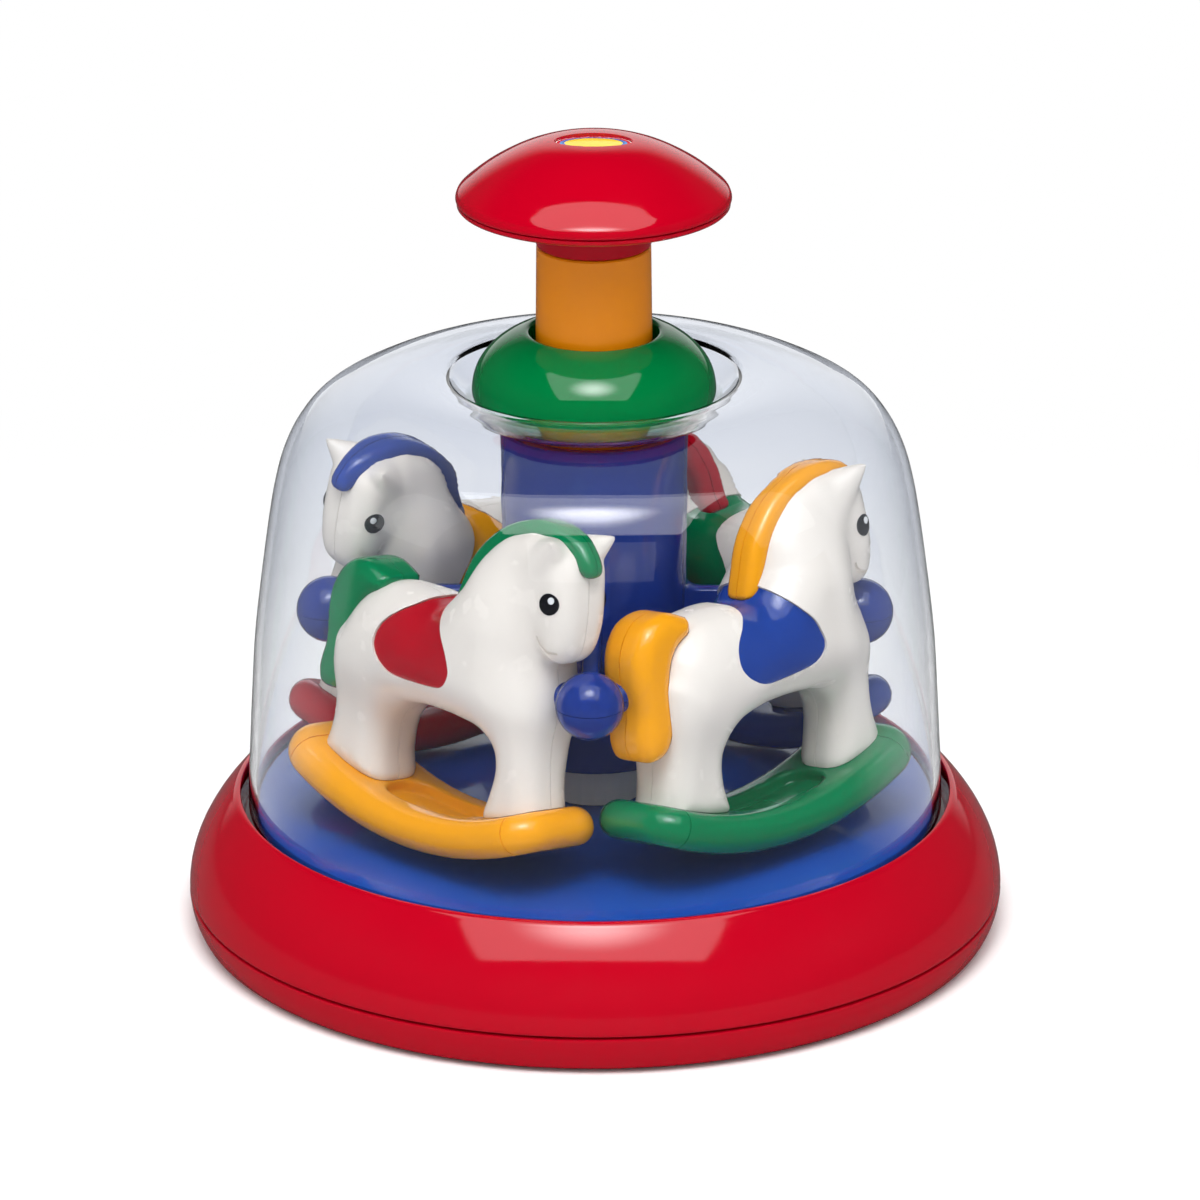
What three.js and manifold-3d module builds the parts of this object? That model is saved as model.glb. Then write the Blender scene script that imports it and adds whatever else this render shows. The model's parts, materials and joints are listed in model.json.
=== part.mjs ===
// Push-and-spin carousel toy: a weighted red base under a clear dome, with a blue
// spider inside that carries four rocking horses, turned by a spring-returned plunger.
// Millimetres, +Z up, origin at the centre of the base's underside, front at -Y.

import * as THREE from 'three';
import { mergeVertices } from 'three/addons/utils/BufferGeometryUtils.js';
import Module from 'manifold-3d';

const wasm = await Module();
wasm.setup();

// Clearances shared by every fit
const GAP = 0.3;             // between pieces that seat on or in each other
const RUNNING = 0.4;         // radial clearance of a piece that turns or slides
const OVERRUN = 5;           // how far a cutter passes what it cuts
const MERGE = 0.001;         // vertices closer than this are one
const SLIVER = 0.04;         // booleans' edges shorter than this are let go
const FULL_TURN = Math.PI * 2;
const QUARTER = Math.PI / 2;
const HALF_SPACING = FULL_TURN / 8;     // from a horse to the arms before and behind it

// How finely round pieces are cut into facets
const LARGE_SEGMENTS = 40;
const SMALL_SEGMENTS = 24;
const ROD_SEGMENTS = 12;
const ROUND_STEPS = 2;         // facets across a rounded edge of a puffed outline
const MITRE_LIMIT = 0.5;       // least cosine that a grown corner is stretched by
const OUTLINE_DENSITY = 1;     // facets for each point of an outline
const ROUNDING_SHARE = 0.42;   // most of a narrow outline's depth that rounding may take

// Horses: the reference point lies on the middle plane, at the level of the hooves
const HORSE_CIRCLE_RADIUS = 53.4;
const REACH_SHARE = 0.936;
const HORSE_REACH = HORSE_CIRCLE_RADIUS * REACH_SHARE;   // what the outlines' lengths count
const HORSE_STATURE = 70;                                // what the outlines' heights count
const HORSE_LEAN = THREE.MathUtils.degToRad(9.5);
const TORSO_HALF_WIDTH = 14.6;
const TORSO_ROUNDING = 11;
const HEAD_HALF_WIDTH = 10.6;
const HEAD_ROUNDING = 7;
const LEG_HALF_WIDTH = 8.6;
const LEG_ROUNDING = 6;
const MANE_HALF_WIDTH = 4.4;
const MANE_ROUNDING = 2.6;
const TAIL_HALF_WIDTH = 6.4;
const TAIL_ROUNDING = 3.4;
const EAR_SPREAD = 7.2;
const EAR_RADIUS = 3;
const EAR_LENGTH = 8.5;
const EAR_TILT = THREE.MathUtils.degToRad(31);
const SADDLE_THICKNESS = 1.6;
const ROCKER_HALF_WIDTH = 12.5;
const ROCKER_ROUNDING = 4.4;
const ROCKER_ARC_RADIUS = 92;
const ROCKER_THICKNESS = 9.5;
const ROCKER_DROP = 13.5;     // from the hooves to the lowest point of the arc
const ROCKER_MIDDLE = 5;      // the lowest point lies this far ahead of the reference
const ROCKER_FRONT_SHARE = 0.912;
const ROCKER_FRONT = HORSE_REACH * ROCKER_FRONT_SHARE;
const ROCKER_REAR = ROCKER_HALF_WIDTH - HORSE_CIRCLE_RADIUS;
const ROCKER_STEPS = 6;
const CHANNEL_HALF_WIDTH = 6.5;
const CHANNEL_DEPTH = 2.2;
const CHANNEL_FRONT = 20;
const CHANNEL_REAR = -12;
const SWING_LIMIT = THREE.MathUtils.degToRad(5);

// Balls and studs at the ends of the spider's arms
const BALL_CIRCLE_SHARE = 1.2116;
const BALL_CIRCLE_RADIUS = HORSE_CIRCLE_RADIUS * BALL_CIRCLE_SHARE;
const BALL_RADIUS = 8.1;
const STUD_RADIUS = 3.7;
const STUD_REACH = 10.2;      // from the arm's middle plane to the stud's round tip
const STUD_INSET = 5.9;       // the studs lie inside the ball's own circle
const STUD_CIRCLE_RADIUS = BALL_CIRCLE_RADIUS - STUD_INSET;

// Dome and base, sized outward from what turns inside
const DOME_WALL = 1.8;
const DOME_CLEARANCE = 3.2;
const ROCKER_SWEEP = Math.hypot(HORSE_CIRCLE_RADIUS + ROCKER_HALF_WIDTH, ROCKER_FRONT);
const CAROUSEL_SWEEP = Math.max(ROCKER_SWEEP, BALL_CIRCLE_RADIUS + BALL_RADIUS);
const DOME_FOOT_RADIUS = CAROUSEL_SWEEP + DOME_CLEARANCE + DOME_WALL;
const DOME_FLANGE_OVERLAP = 0.8;
const DOME_FLANGE_THICKNESS = 1.6;
const LIP_CLEARANCE = 1.8;
const RING_LIP_RADIUS = DOME_FOOT_RADIUS + LIP_CLEARANCE;
const RING_WIDTH = 13;
const BASE_RADIUS = RING_LIP_RADIUS + RING_WIDTH;
const BASE_WALL = 2.6;
const FOOT_SETBACK = 5.4;
const BASE_FOOT_RADIUS = BASE_RADIUS - FOOT_SETBACK;
const FOOT_WIDTH = 16.6;
const UNDERSIDE_RECESS_RADIUS = BASE_FOOT_RADIUS - FOOT_WIDTH;
const UNDERSIDE_RECESS_DEPTH = 1.2;
const SEAM_HEIGHT = 9.8;
const SPIGOT_HEIGHT = 3;
const SPIGOT_WALL = 1.4;
const SPIGOT_CLEARANCE = 0.8;
const RING_HEIGHT = 24.6;
const RING_TOP_HEIGHT = SEAM_HEIGHT + RING_HEIGHT;

// Floor of the dome
const FLOOR_DROP = 1.1;
const FLOOR_HEIGHT = RING_TOP_HEIGHT - FLOOR_DROP;
const FLOOR_THICKNESS = 2.4;
const FLOOR_RIB_SETBACK = 9.2;
const FLOOR_RIB_RADIUS = DOME_FOOT_RADIUS - FLOOR_RIB_SETBACK;
const FLOOR_RIB_WALL = 2.4;

// Screws that hold the tray to the ring
const SCREW_SETBACK = 3.1;
const SCREW_CIRCLE_RADIUS = BASE_FOOT_RADIUS - SCREW_SETBACK;
const SCREW_RADIUS = 1.6;
const SCREW_HEAD_RADIUS = 2.6;
const SCREW_HEAD_HEIGHT = 1.5;
const SCREW_LENGTH = 12;
const SCREW_RECESS_DEPTH = 2.2;
const BOSS_RADIUS = 3.2;
const BOSS_TOP_SHARE = 0.62;

// Heights that follow one another up the middle of the toy
const ROCKER_CLEARANCE = 3.2;
const HOOF_HEIGHT = FLOOR_HEIGHT + ROCKER_DROP + ROCKER_CLEARANCE;
const ARM_HEIGHT_SHARE = 0.43;
const ARM_HEIGHT = HOOF_HEIGHT + HORSE_STATURE * ARM_HEIGHT_SHARE;
const SLEEVE_LENGTH = 10.8;
const SHOULDER_HEIGHT = FLOOR_HEIGHT + GAP + SLEEVE_LENGTH;
const WASHER_THICKNESS = 0.5;
const COLUMN_BOTTOM_HEIGHT = SHOULDER_HEIGHT + GAP + WASHER_THICKNESS + GAP;
const COLUMN_ABOVE_HORSES = 8.2;
const COLUMN_TOP_HEIGHT = HOOF_HEIGHT + HORSE_STATURE + COLUMN_ABOVE_HORSES;
const CUP_CLEARANCE = 5;
const CUP_FLOOR_HEIGHT = COLUMN_TOP_HEIGHT + CUP_CLEARANCE;
const CUP_DEPTH = 6.8;
const CUP_RIM_HEIGHT = CUP_FLOOR_HEIGHT + CUP_DEPTH;
const DOME_CREST_RISE = 1;
const DOME_HEIGHT = CUP_RIM_HEIGHT + DOME_CREST_RISE;

// Plunger: a tube with a stop flange, a nut in its lower end and a knob on top
const TUBE_RADIUS = 14.1;
const TUBE_TAPER = 0.3;
const TUBE_TOP_RADIUS = TUBE_RADIUS - TUBE_TAPER;
const TUBE_WALL = 1.8;
const TUBE_DIP = 12.2;
const TUBE_BOTTOM_HEIGHT = COLUMN_TOP_HEIGHT - TUBE_DIP;
const FLANGE_WIDTH = 3.4;
const FLANGE_RADIUS = TUBE_RADIUS + FLANGE_WIDTH;
const FLANGE_THICKNESS = 2;
const NUT_THICKNESS = 4;
const NUT_LIP = 1.8;
const PLUNGER_STROKE = 20;

// Collar round the plunger, seated in the dome's cup
const COLLAR_CLEARANCE = 1.1;
const COLLAR_HOLE_RADIUS = TUBE_RADIUS + COLLAR_CLEARANCE;
const COLLAR_WIDTH = 14.3;
const COLLAR_RADIUS = COLLAR_HOLE_RADIUS + COLLAR_WIDTH;
const COLLAR_CREST_SHARE = 0.37;
const COLLAR_CREST_RADIUS = COLLAR_HOLE_RADIUS + COLLAR_WIDTH * COLLAR_CREST_SHARE;
const COLLAR_TALLNESS = 21.4;
const COLLAR_HEIGHT = CUP_FLOOR_HEIGHT + COLLAR_TALLNESS;
const COLLAR_WAIST_SHARE = 0.234;
const COLLAR_WAIST_HEIGHT = CUP_FLOOR_HEIGHT + COLLAR_TALLNESS * COLLAR_WAIST_SHARE;
const COLLAR_HOLE_DROP = 3.6;
const COLLAR_HOLE_HEIGHT = COLLAR_HEIGHT - COLLAR_HOLE_DROP;
const CUP_FLOOR_SETBACK = 2.5;
const CUP_FLOOR_RADIUS = COLLAR_RADIUS - CUP_FLOOR_SETBACK;
const CUP_FLARE = 7.6;
const CUP_RIM_RADIUS = CUP_FLOOR_RADIUS + CUP_FLARE;
const DOME_CREST_WIDTH = 9.4;
const DOME_CREST_RADIUS = CUP_RIM_RADIUS + DOME_CREST_WIDTH;

// Knob on the plunger
const STEM_SHOWN = 19;
const NECK_BOTTOM_HEIGHT = COLLAR_HEIGHT + STEM_SHOWN;
const NECK_HEIGHT = 5;
const NECK_SPIGOT_LENGTH = 6;
const NECK_SPIGOT_WALL = 1.7;
const KNOB_DISH = 6.2;
const KNOB_RIM_HEIGHT = NECK_BOTTOM_HEIGHT + NECK_HEIGHT + KNOB_DISH;
const KNOB_RISE = 14.8;
const KNOB_TOP_HEIGHT = KNOB_RIM_HEIGHT + KNOB_RISE;
const KNOB_RADIUS = 33.1;
const KNOB_WALL = 2;
const KNOB_DISC_THICKNESS = 1.8;
const BADGE_SHARE = 0.29;
const BADGE_RADIUS = KNOB_RADIUS * BADGE_SHARE;
const BADGE_DEPTH = 1.2;

// Post in the base, and the spindle that the plunger's nut turns
const POST_RADIUS = 7;
const POST_PROUD = 2.3;
const SHOULDER_WIDTH = 5;
const SHOULDER_RADIUS = POST_RADIUS + SHOULDER_WIDTH;
const HUB_WIDTH = 4;
const HUB_RADIUS = POST_RADIUS + HUB_WIDTH;
const HUB_LENGTH = 18.5;
const HUB_TOP_HEIGHT = COLUMN_BOTTOM_HEIGHT + HUB_LENGTH;
const POST_TOP_HEIGHT = HUB_TOP_HEIGHT + POST_PROUD;
const SHAFT_RADIUS = 3;
const SHAFT_FOOT_RISE = 2.7;
const SHAFT_BOTTOM_HEIGHT = FLOOR_HEIGHT + SHAFT_FOOT_RISE;
const TOOTH_COUNT = 8;
const TOOTH_HEIGHT = 2;
const DRIVER_THICKNESS = 4;
const TWIST_PITCH = 60;       // rise of the nut for one turn of the spindle
const TWIST_SIDE = 6.4;
const TWIST_CLEARANCE = 0.6;
const TWIST_SPARE = 4;
const TWIST_BOTTOM_HEIGHT = TUBE_BOTTOM_HEIGHT - PLUNGER_STROKE - TWIST_SPARE;
const TWIST_STEPS = 3;        // facets for each side's length of height
const TWIST_PROUD = 15;
const TWIST_TOP_HEIGHT = TUBE_BOTTOM_HEIGHT + TWIST_PROUD;
const SEAT_RADIUS = 8.4;
const SEAT_THICKNESS = 2;
const SPRING_SETBACK = 1.8;
const SPRING_RADIUS = SEAT_RADIUS - SPRING_SETBACK;
const SPRING_WIRE_RADIUS = 0.7;
const SPRING_TURNS = 8;
const SPRING_STEPS = 7;       // facets for each turn

// Spider: a column with four arms
const COLUMN_RADIUS = 22.4;
const COLUMN_WALL = 2.2;
const COLUMN_LIP_WIDTH = 4;
const COLUMN_LIP_RADIUS = COLUMN_RADIUS - COLUMN_LIP_WIDTH;
const COLUMN_LIP_HEIGHT = 4;
const ARM_WIDTH = 4;
const ARM_DEPTH = 12;

// Finishes
const finish = (color, roughness = 0.25, metalness = 0) =>
  new THREE.MeshStandardMaterial({ color, roughness, metalness });
const red = finish('#c8102e');
const blue = finish('#27409a');
const floorBlue = finish('#2a55a8', 0.15);
const green = finish('#00823f');
const amber = finish('#ef9a1a');
const white = finish('#edebe6', 0.3);
const steel = finish('#a9adb2', 0.35, 1);
const clear = new THREE.MeshStandardMaterial({
  color: '#dfe8f4', roughness: 0.05, metalness: 0, transparent: true, opacity: 0.25,
});

// Solids from geometries and back

function toSolid(geometry) {
  const bare = geometry.clone();
  bare.deleteAttribute('normal');
  bare.deleteAttribute('uv');
  const merged = mergeVertices(bare, MERGE);
  const corners = Array.from(merged.index.array);
  const triangles = [];
  for (let start = 0; start < corners.length; start += 3) {
    const triangle = corners.slice(start, start + 3);
    if (new Set(triangle).size === triangle.length) triangles.push(...triangle);
  }
  return new wasm.Manifold(new wasm.Mesh({
    numProp: 3,
    vertProperties: new Float32Array(merged.attributes.position.array),
    triVerts: new Uint32Array(triangles),
  }));
}

function toGeometry(solid) {
  const mesh = solid.simplify(SLIVER).getMesh();
  const geometry = new THREE.BufferGeometry();
  geometry.setAttribute('position', new THREE.BufferAttribute(mesh.vertProperties, 3));
  geometry.setIndex(new THREE.BufferAttribute(mesh.triVerts, 1));
  geometry.computeVertexNormals();
  return geometry;
}

const join = (...geometries) =>
  toGeometry(geometries.map(toSolid).reduce((all, next) => all.add(next)));
const cut = (geometry, ...cutters) =>
  toGeometry(cutters.map(toSolid).reduce((all, next) => all.subtract(next), toSolid(geometry)));
const common = (geometry, other) => toGeometry(toSolid(geometry).intersect(toSolid(other)));

// Basic shapes, stood on their own axis along Z

function revolve(points, segments) {
  const profile = points.map(([radius, height]) => new THREE.Vector2(radius, height));
  profile.push(profile[0].clone());
  const lathe = new THREE.LatheGeometry(profile, segments).rotateX(QUARTER);
  return toGeometry(toSolid(lathe));
}

function rod(radius, bottom, top, segments = ROD_SEGMENTS) {
  const cylinder = new THREE.CylinderGeometry(radius, radius, top - bottom, segments);
  return cylinder.rotateX(QUARTER).translate(0, 0, (top + bottom) / 2);
}

function tube(outer, inner, bottom, top, segments = SMALL_SEGMENTS) {
  return revolve([[inner, bottom], [outer, bottom], [outer, top], [inner, top]], segments);
}

function slab(halfSpan, bottom, top) {
  const box = new THREE.BoxGeometry(halfSpan * 2, halfSpan * 2, top - bottom);
  return box.translate(0, 0, (top + bottom) / 2);
}

// A curve through points, as points of its own
function smooth(points, count) {
  const curve = new THREE.SplineCurve(points.map(([x, y]) => new THREE.Vector2(x, y)));
  return curve.getPoints(count).map((point) => [point.x, point.y]);
}

const around = (index, count) => (index / count) * FULL_TURN;

// Base tray: a shallow dish with a flat foot, a recessed underside and screw holes

const TRAY_FLOOR_TOP = UNDERSIDE_RECESS_DEPTH + BASE_WALL;
const SEAM_BELOW = SEAM_HEIGHT - GAP / 2;
const SEAM_ABOVE = SEAM_HEIGHT + GAP / 2;
const TRAY_SHARES = [[0.44, 0.1], [0.9, 0.58]];

function screwPlaces() {
  return [0, 1, 2, 3].map((index) => {
    const angle = around(index, 4) + HALF_SPACING;
    return [Math.cos(angle) * SCREW_CIRCLE_RADIUS, Math.sin(angle) * SCREW_CIRCLE_RADIUS];
  });
}

function trayGeometry() {
  const spigotOuter = BASE_RADIUS - BASE_WALL - SPIGOT_CLEARANCE;
  const spigotInner = spigotOuter - SPIGOT_WALL;
  const ribOuter = FLOOR_RIB_RADIUS + FLOOR_RIB_WALL;
  const ribTop = FLOOR_HEIGHT - FLOOR_THICKNESS - GAP;
  const dish = revolve([
    [0, UNDERSIDE_RECESS_DEPTH],
    [UNDERSIDE_RECESS_RADIUS, UNDERSIDE_RECESS_DEPTH],
    [UNDERSIDE_RECESS_RADIUS + UNDERSIDE_RECESS_DEPTH, 0],
    [BASE_FOOT_RADIUS, 0],
    ...smooth([
      [BASE_FOOT_RADIUS + FOOT_SETBACK * TRAY_SHARES[0][0], SEAM_BELOW * TRAY_SHARES[0][1]],
      [BASE_FOOT_RADIUS + FOOT_SETBACK * TRAY_SHARES[1][0], SEAM_BELOW * TRAY_SHARES[1][1]],
      [BASE_RADIUS, SEAM_BELOW],
    ], 4),
    [spigotOuter, SEAM_BELOW],
    [spigotOuter, SEAM_BELOW + SPIGOT_HEIGHT],
    [spigotInner, SEAM_BELOW + SPIGOT_HEIGHT],
    [spigotInner, TRAY_FLOOR_TOP],
    [ribOuter, TRAY_FLOOR_TOP],
    [ribOuter, ribTop],
    [FLOOR_RIB_RADIUS, ribTop],
    [FLOOR_RIB_RADIUS, TRAY_FLOOR_TOP],
    [0, TRAY_FLOOR_TOP],
  ], LARGE_SEGMENTS);
  const holes = screwPlaces().flatMap(([x, y]) => [
    rod(SCREW_RADIUS + GAP, -OVERRUN, TRAY_FLOOR_TOP + OVERRUN, 8).translate(x, y, 0),
    rod(SCREW_HEAD_RADIUS + GAP, -OVERRUN, SCREW_RECESS_DEPTH, 8).translate(x, y, 0),
  ]);
  return cut(dish, ...holes);
}

// Base ring: the upper shell, with screw bosses inside

const RING_SHARES = [
  [0, 0], [0.092, 0.288], [0.2, 0.452], [0.346, 0.615], [0.546, 0.759], [0.754, 0.881],
  [0.9, 0.967], [1, 1],
];

function ringGeometry() {
  const width = BASE_RADIUS - RING_LIP_RADIUS;
  const height = RING_TOP_HEIGHT - SEAM_ABOVE;
  const along = (radius, shareOut, top) =>
    RING_SHARES.map(([inward, upward]) => [radius - inward * shareOut, SEAM_ABOVE + upward * top]);
  const outside = along(BASE_RADIUS, width, height);
  const inside = along(BASE_RADIUS - BASE_WALL, width - BASE_WALL, height - BASE_WALL)
    .filter((_, index) => index % 2 === 1 || index === 0);
  const shell = revolve([...outside, ...inside.reverse()], LARGE_SEGMENTS);
  const bossTop = SEAM_HEIGHT + RING_HEIGHT * BOSS_TOP_SHARE;
  const bosses = screwPlaces().map(([x, y]) =>
    rod(BOSS_RADIUS, TRAY_FLOOR_TOP + GAP, bossTop, 8).translate(x, y, 0));
  const holes = screwPlaces().map(([x, y]) =>
    rod(SCREW_RADIUS + GAP, -OVERRUN, SCREW_LENGTH + OVERRUN, 8).translate(x, y, 0));
  return cut(join(shell, ...bosses), ...holes);
}

// Screw: a round head and a plain shank, seated in the tray's recess

function screwGeometry() {
  const headTop = SCREW_RECESS_DEPTH - GAP;
  return revolve([
    [0, headTop - SCREW_HEAD_HEIGHT],
    [SCREW_HEAD_RADIUS, headTop - SCREW_HEAD_HEIGHT],
    [SCREW_HEAD_RADIUS, headTop],
    [SCREW_RADIUS, headTop],
    [SCREW_RADIUS, SCREW_LENGTH],
    [0, SCREW_LENGTH + SCREW_RADIUS],
  ], 8);
}

// Floor of the dome: a glossy disc with a skirt, resting on the tray's rib

function floorGeometry() {
  const radius = DOME_FOOT_RADIUS - DOME_WALL - GAP;
  const bottom = FLOOR_HEIGHT - FLOOR_THICKNESS;
  return tube(radius, POST_RADIUS + GAP, bottom, FLOOR_HEIGHT, LARGE_SEGMENTS);
}

// Dome: one clear shell from the flange under the ring's lip up to the cup round the plunger

const DOME_WALL_SHARES = [
  [1, 0], [0.984, 0.248], [0.951, 0.527], [0.906, 0.749], [0.883, 0.814], [0.847, 0.87],
  [0.797, 0.916], [0.71, 0.954], [0.616, 0.981],
];

// The same run of points moved a wall's thickness to the left of its direction
function inset(points, wall) {
  return points.map(([x, y], index) => {
    const before = points[Math.max(index - 1, 0)];
    const after = points[Math.min(index + 1, points.length - 1)];
    const run = Math.hypot(after[0] - before[0], after[1] - before[1]);
    return [x - (wall * (after[1] - before[1])) / run, y + (wall * (after[0] - before[0])) / run];
  });
}

function domeGeometry() {
  const flangeTop = RING_TOP_HEIGHT - BASE_WALL - DOME_FLANGE_OVERLAP - GAP;
  const flangeRadius = RING_LIP_RADIUS + DOME_FLANGE_OVERLAP;
  const height = DOME_HEIGHT - FLOOR_HEIGHT;
  const wall = DOME_WALL_SHARES.map(([out, up]) =>
    [DOME_FOOT_RADIUS * out, FLOOR_HEIGHT + height * up]);
  const skin = [
    ...wall,
    [DOME_CREST_RADIUS, DOME_HEIGHT],
    [CUP_RIM_RADIUS, CUP_RIM_HEIGHT],
    [CUP_FLOOR_RADIUS + DOME_WALL, CUP_FLOOR_HEIGHT + DOME_WALL],
    [CUP_FLOOR_RADIUS, CUP_FLOOR_HEIGHT],
    [COLLAR_HOLE_RADIUS + RUNNING, CUP_FLOOR_HEIGHT],
  ];
  return revolve([
    [DOME_FOOT_RADIUS, flangeTop],
    ...skin,
    ...inset(skin, DOME_WALL).reverse(),
    [DOME_FOOT_RADIUS - DOME_WALL, flangeTop - DOME_FLANGE_THICKNESS],
    [flangeRadius, flangeTop - DOME_FLANGE_THICKNESS],
    [flangeRadius, flangeTop],
  ], LARGE_SEGMENTS);
}

// Collar: a half-round ring that lies in the cup and guides the plunger

const COLLAR_SHARES = [[0.97, 0.42], [0.84, 0.8]];

function collarGeometry() {
  const foot = CUP_FLOOR_HEIGHT + GAP;
  const rise = COLLAR_HEIGHT - COLLAR_WAIST_HEIGHT;
  return revolve([
    [COLLAR_HOLE_RADIUS, foot],
    [CUP_FLOOR_RADIUS - GAP, foot],
    ...smooth([
      [CUP_FLOOR_RADIUS + GAP, foot + DOME_WALL],
      [COLLAR_RADIUS, COLLAR_WAIST_HEIGHT],
      ...COLLAR_SHARES.map(([out, up]) => [COLLAR_RADIUS * out, COLLAR_WAIST_HEIGHT + rise * up]),
      [COLLAR_CREST_RADIUS, COLLAR_HEIGHT],
      [(COLLAR_CREST_RADIUS + COLLAR_HOLE_RADIUS) / 2 - GAP, COLLAR_HEIGHT - DOME_WALL / 2],
      [COLLAR_HOLE_RADIUS, COLLAR_HOLE_HEIGHT],
    ], 9),
  ], SMALL_SEGMENTS);
}

// Plunger tube: slides in the collar, stopped by its flange under the cup

const FLANGE_TOP = CUP_FLOOR_HEIGHT - DOME_WALL - GAP;
const NUT_BOTTOM = TUBE_BOTTOM_HEIGHT + NUT_LIP + GAP;
const TUBE_TOP = NECK_BOTTOM_HEIGHT - GAP;

function tubeGeometry() {
  const inner = TUBE_RADIUS - TUBE_WALL;
  return revolve([
    [inner - NUT_LIP, TUBE_BOTTOM_HEIGHT],
    [TUBE_RADIUS, TUBE_BOTTOM_HEIGHT],
    [TUBE_RADIUS, FLANGE_TOP - FLANGE_THICKNESS],
    [FLANGE_RADIUS, FLANGE_TOP - FLANGE_THICKNESS],
    [FLANGE_RADIUS, FLANGE_TOP],
    [TUBE_RADIUS, FLANGE_TOP],
    [TUBE_TOP_RADIUS, TUBE_TOP],
    [TUBE_TOP_RADIUS - TUBE_WALL, TUBE_TOP],
    [inner, FLANGE_TOP],
    [inner, TUBE_BOTTOM_HEIGHT + NUT_LIP],
    [inner - NUT_LIP, TUBE_BOTTOM_HEIGHT + NUT_LIP],
  ], SMALL_SEGMENTS);
}

// Square bar with a steady twist about its own axis: radians per millimetre of height
const TWIST_RATE = FULL_TURN / TWIST_PITCH;

function twistedBar(side, bottom, top) {
  const steps = Math.ceil((top - bottom) / side) * TWIST_STEPS;
  const bar = new THREE.BoxGeometry(side, side, top - bottom, 1, 1, steps);
  bar.translate(0, 0, (top + bottom) / 2);
  const place = bar.attributes.position;
  for (let index = 0; index < place.count; index += 1) {
    const angle = place.getZ(index) * TWIST_RATE;
    const x = place.getX(index);
    const y = place.getY(index);
    place.setX(index, x * Math.cos(angle) - y * Math.sin(angle));
    place.setY(index, x * Math.sin(angle) + y * Math.cos(angle));
  }
  return bar;
}

// Drive nut: held in the tube's lower end, its twisted hole rides down the spindle
function nutGeometry() {
  const blank = rod(TUBE_RADIUS - TUBE_WALL - GAP, NUT_BOTTOM, NUT_BOTTOM + NUT_THICKNESS, 24);
  const hole = twistedBar(
    TWIST_SIDE + TWIST_CLEARANCE * 2, NUT_BOTTOM - OVERRUN, NUT_BOTTOM + OVERRUN * 2);
  return cut(blank, hole);
}

// Knob: a flat underside with a neck, a domed cap over it and a badge let into the top

function knobDiscGeometry() {
  const neckTop = NECK_BOTTOM_HEIGHT + NECK_HEIGHT;
  const spigot = TUBE_TOP_RADIUS - TUBE_WALL - GAP;
  const bore = spigot - NECK_SPIGOT_WALL;
  const rim = KNOB_RIM_HEIGHT - GAP;
  const underRim = rim - KNOB_DISC_THICKNESS;
  const halfway = (TUBE_TOP_RADIUS + KNOB_RADIUS) / 2;
  return revolve([
    [bore, NECK_BOTTOM_HEIGHT - NECK_SPIGOT_LENGTH],
    [spigot, NECK_BOTTOM_HEIGHT - NECK_SPIGOT_LENGTH],
    [spigot, NECK_BOTTOM_HEIGHT],
    [TUBE_TOP_RADIUS, NECK_BOTTOM_HEIGHT],
    [TUBE_TOP_RADIUS, neckTop],
    [halfway, (neckTop + underRim) / 2 - GAP],
    [KNOB_RADIUS - GAP * 2, underRim],
    [KNOB_RADIUS - GAP, rim],
    [KNOB_RADIUS - KNOB_WALL, rim],
    [halfway, (neckTop + rim) / 2 + GAP],
    [bore, neckTop + KNOB_DISC_THICKNESS],
  ], LARGE_SEGMENTS);
}

const CAP_SHARES = [
  [1, 0], [0.98, 0.149], [0.895, 0.318], [0.805, 0.486], [0.683, 0.655], [0.558, 0.797],
  [0.411, 0.905],
];

function knobCapGeometry() {
  const height = KNOB_TOP_HEIGHT - KNOB_RIM_HEIGHT;
  const points = CAP_SHARES.map(([out, up]) => [KNOB_RADIUS * out, KNOB_RIM_HEIGHT + height * up]);
  const outside = [...points, [BADGE_RADIUS + GAP, KNOB_TOP_HEIGHT - GAP]];
  const inside = inset(outside, KNOB_WALL).filter(([radius]) => radius > SEAT_RADIUS);
  const recess = KNOB_TOP_HEIGHT - BADGE_DEPTH;
  return revolve([
    ...outside,
    [BADGE_RADIUS + GAP, recess],
    [0, recess],
    [0, SPRING_TOP + GAP],
    [SEAT_RADIUS, SPRING_TOP + GAP],
    ...inside.map(([radius, up]) => [radius, Math.max(up, KNOB_RIM_HEIGHT)]).reverse(),
  ], LARGE_SEGMENTS);
}

function badgeGeometry() {
  return rod(BADGE_RADIUS, KNOB_TOP_HEIGHT - BADGE_DEPTH + GAP, KNOB_TOP_HEIGHT, SMALL_SEGMENTS);
}

// Return spring: a coil inside the tube, between the spindle's seat and the knob

const SPRING_BOTTOM = TWIST_TOP_HEIGHT + SEAT_THICKNESS + GAP;
const SPRING_TOP = KNOB_RIM_HEIGHT - KNOB_DISC_THICKNESS - GAP;

class Coil extends THREE.Curve {
  getPoint(t, target = new THREE.Vector3()) {
    const angle = t * SPRING_TURNS * FULL_TURN;
    const low = SPRING_BOTTOM + SPRING_WIRE_RADIUS;
    const high = SPRING_TOP - SPRING_WIRE_RADIUS;
    return target.set(
      SPRING_RADIUS * Math.cos(angle), SPRING_RADIUS * Math.sin(angle), low + (high - low) * t);
  }
}

function springGeometry() {
  const section = new THREE.Shape();
  section.absarc(0, 0, SPRING_WIRE_RADIUS, 0, FULL_TURN);
  return new THREE.ExtrudeGeometry(section, {
    extrudePath: new Coil(), steps: SPRING_TURNS * SPRING_STEPS, curveSegments: 3, bevelEnabled: false,
  });
}

// Spindle: a round shaft below, a twisted bar above and a spring seat on top

const SHAFT_TOP = TWIST_BOTTOM_HEIGHT + GAP;

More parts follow.
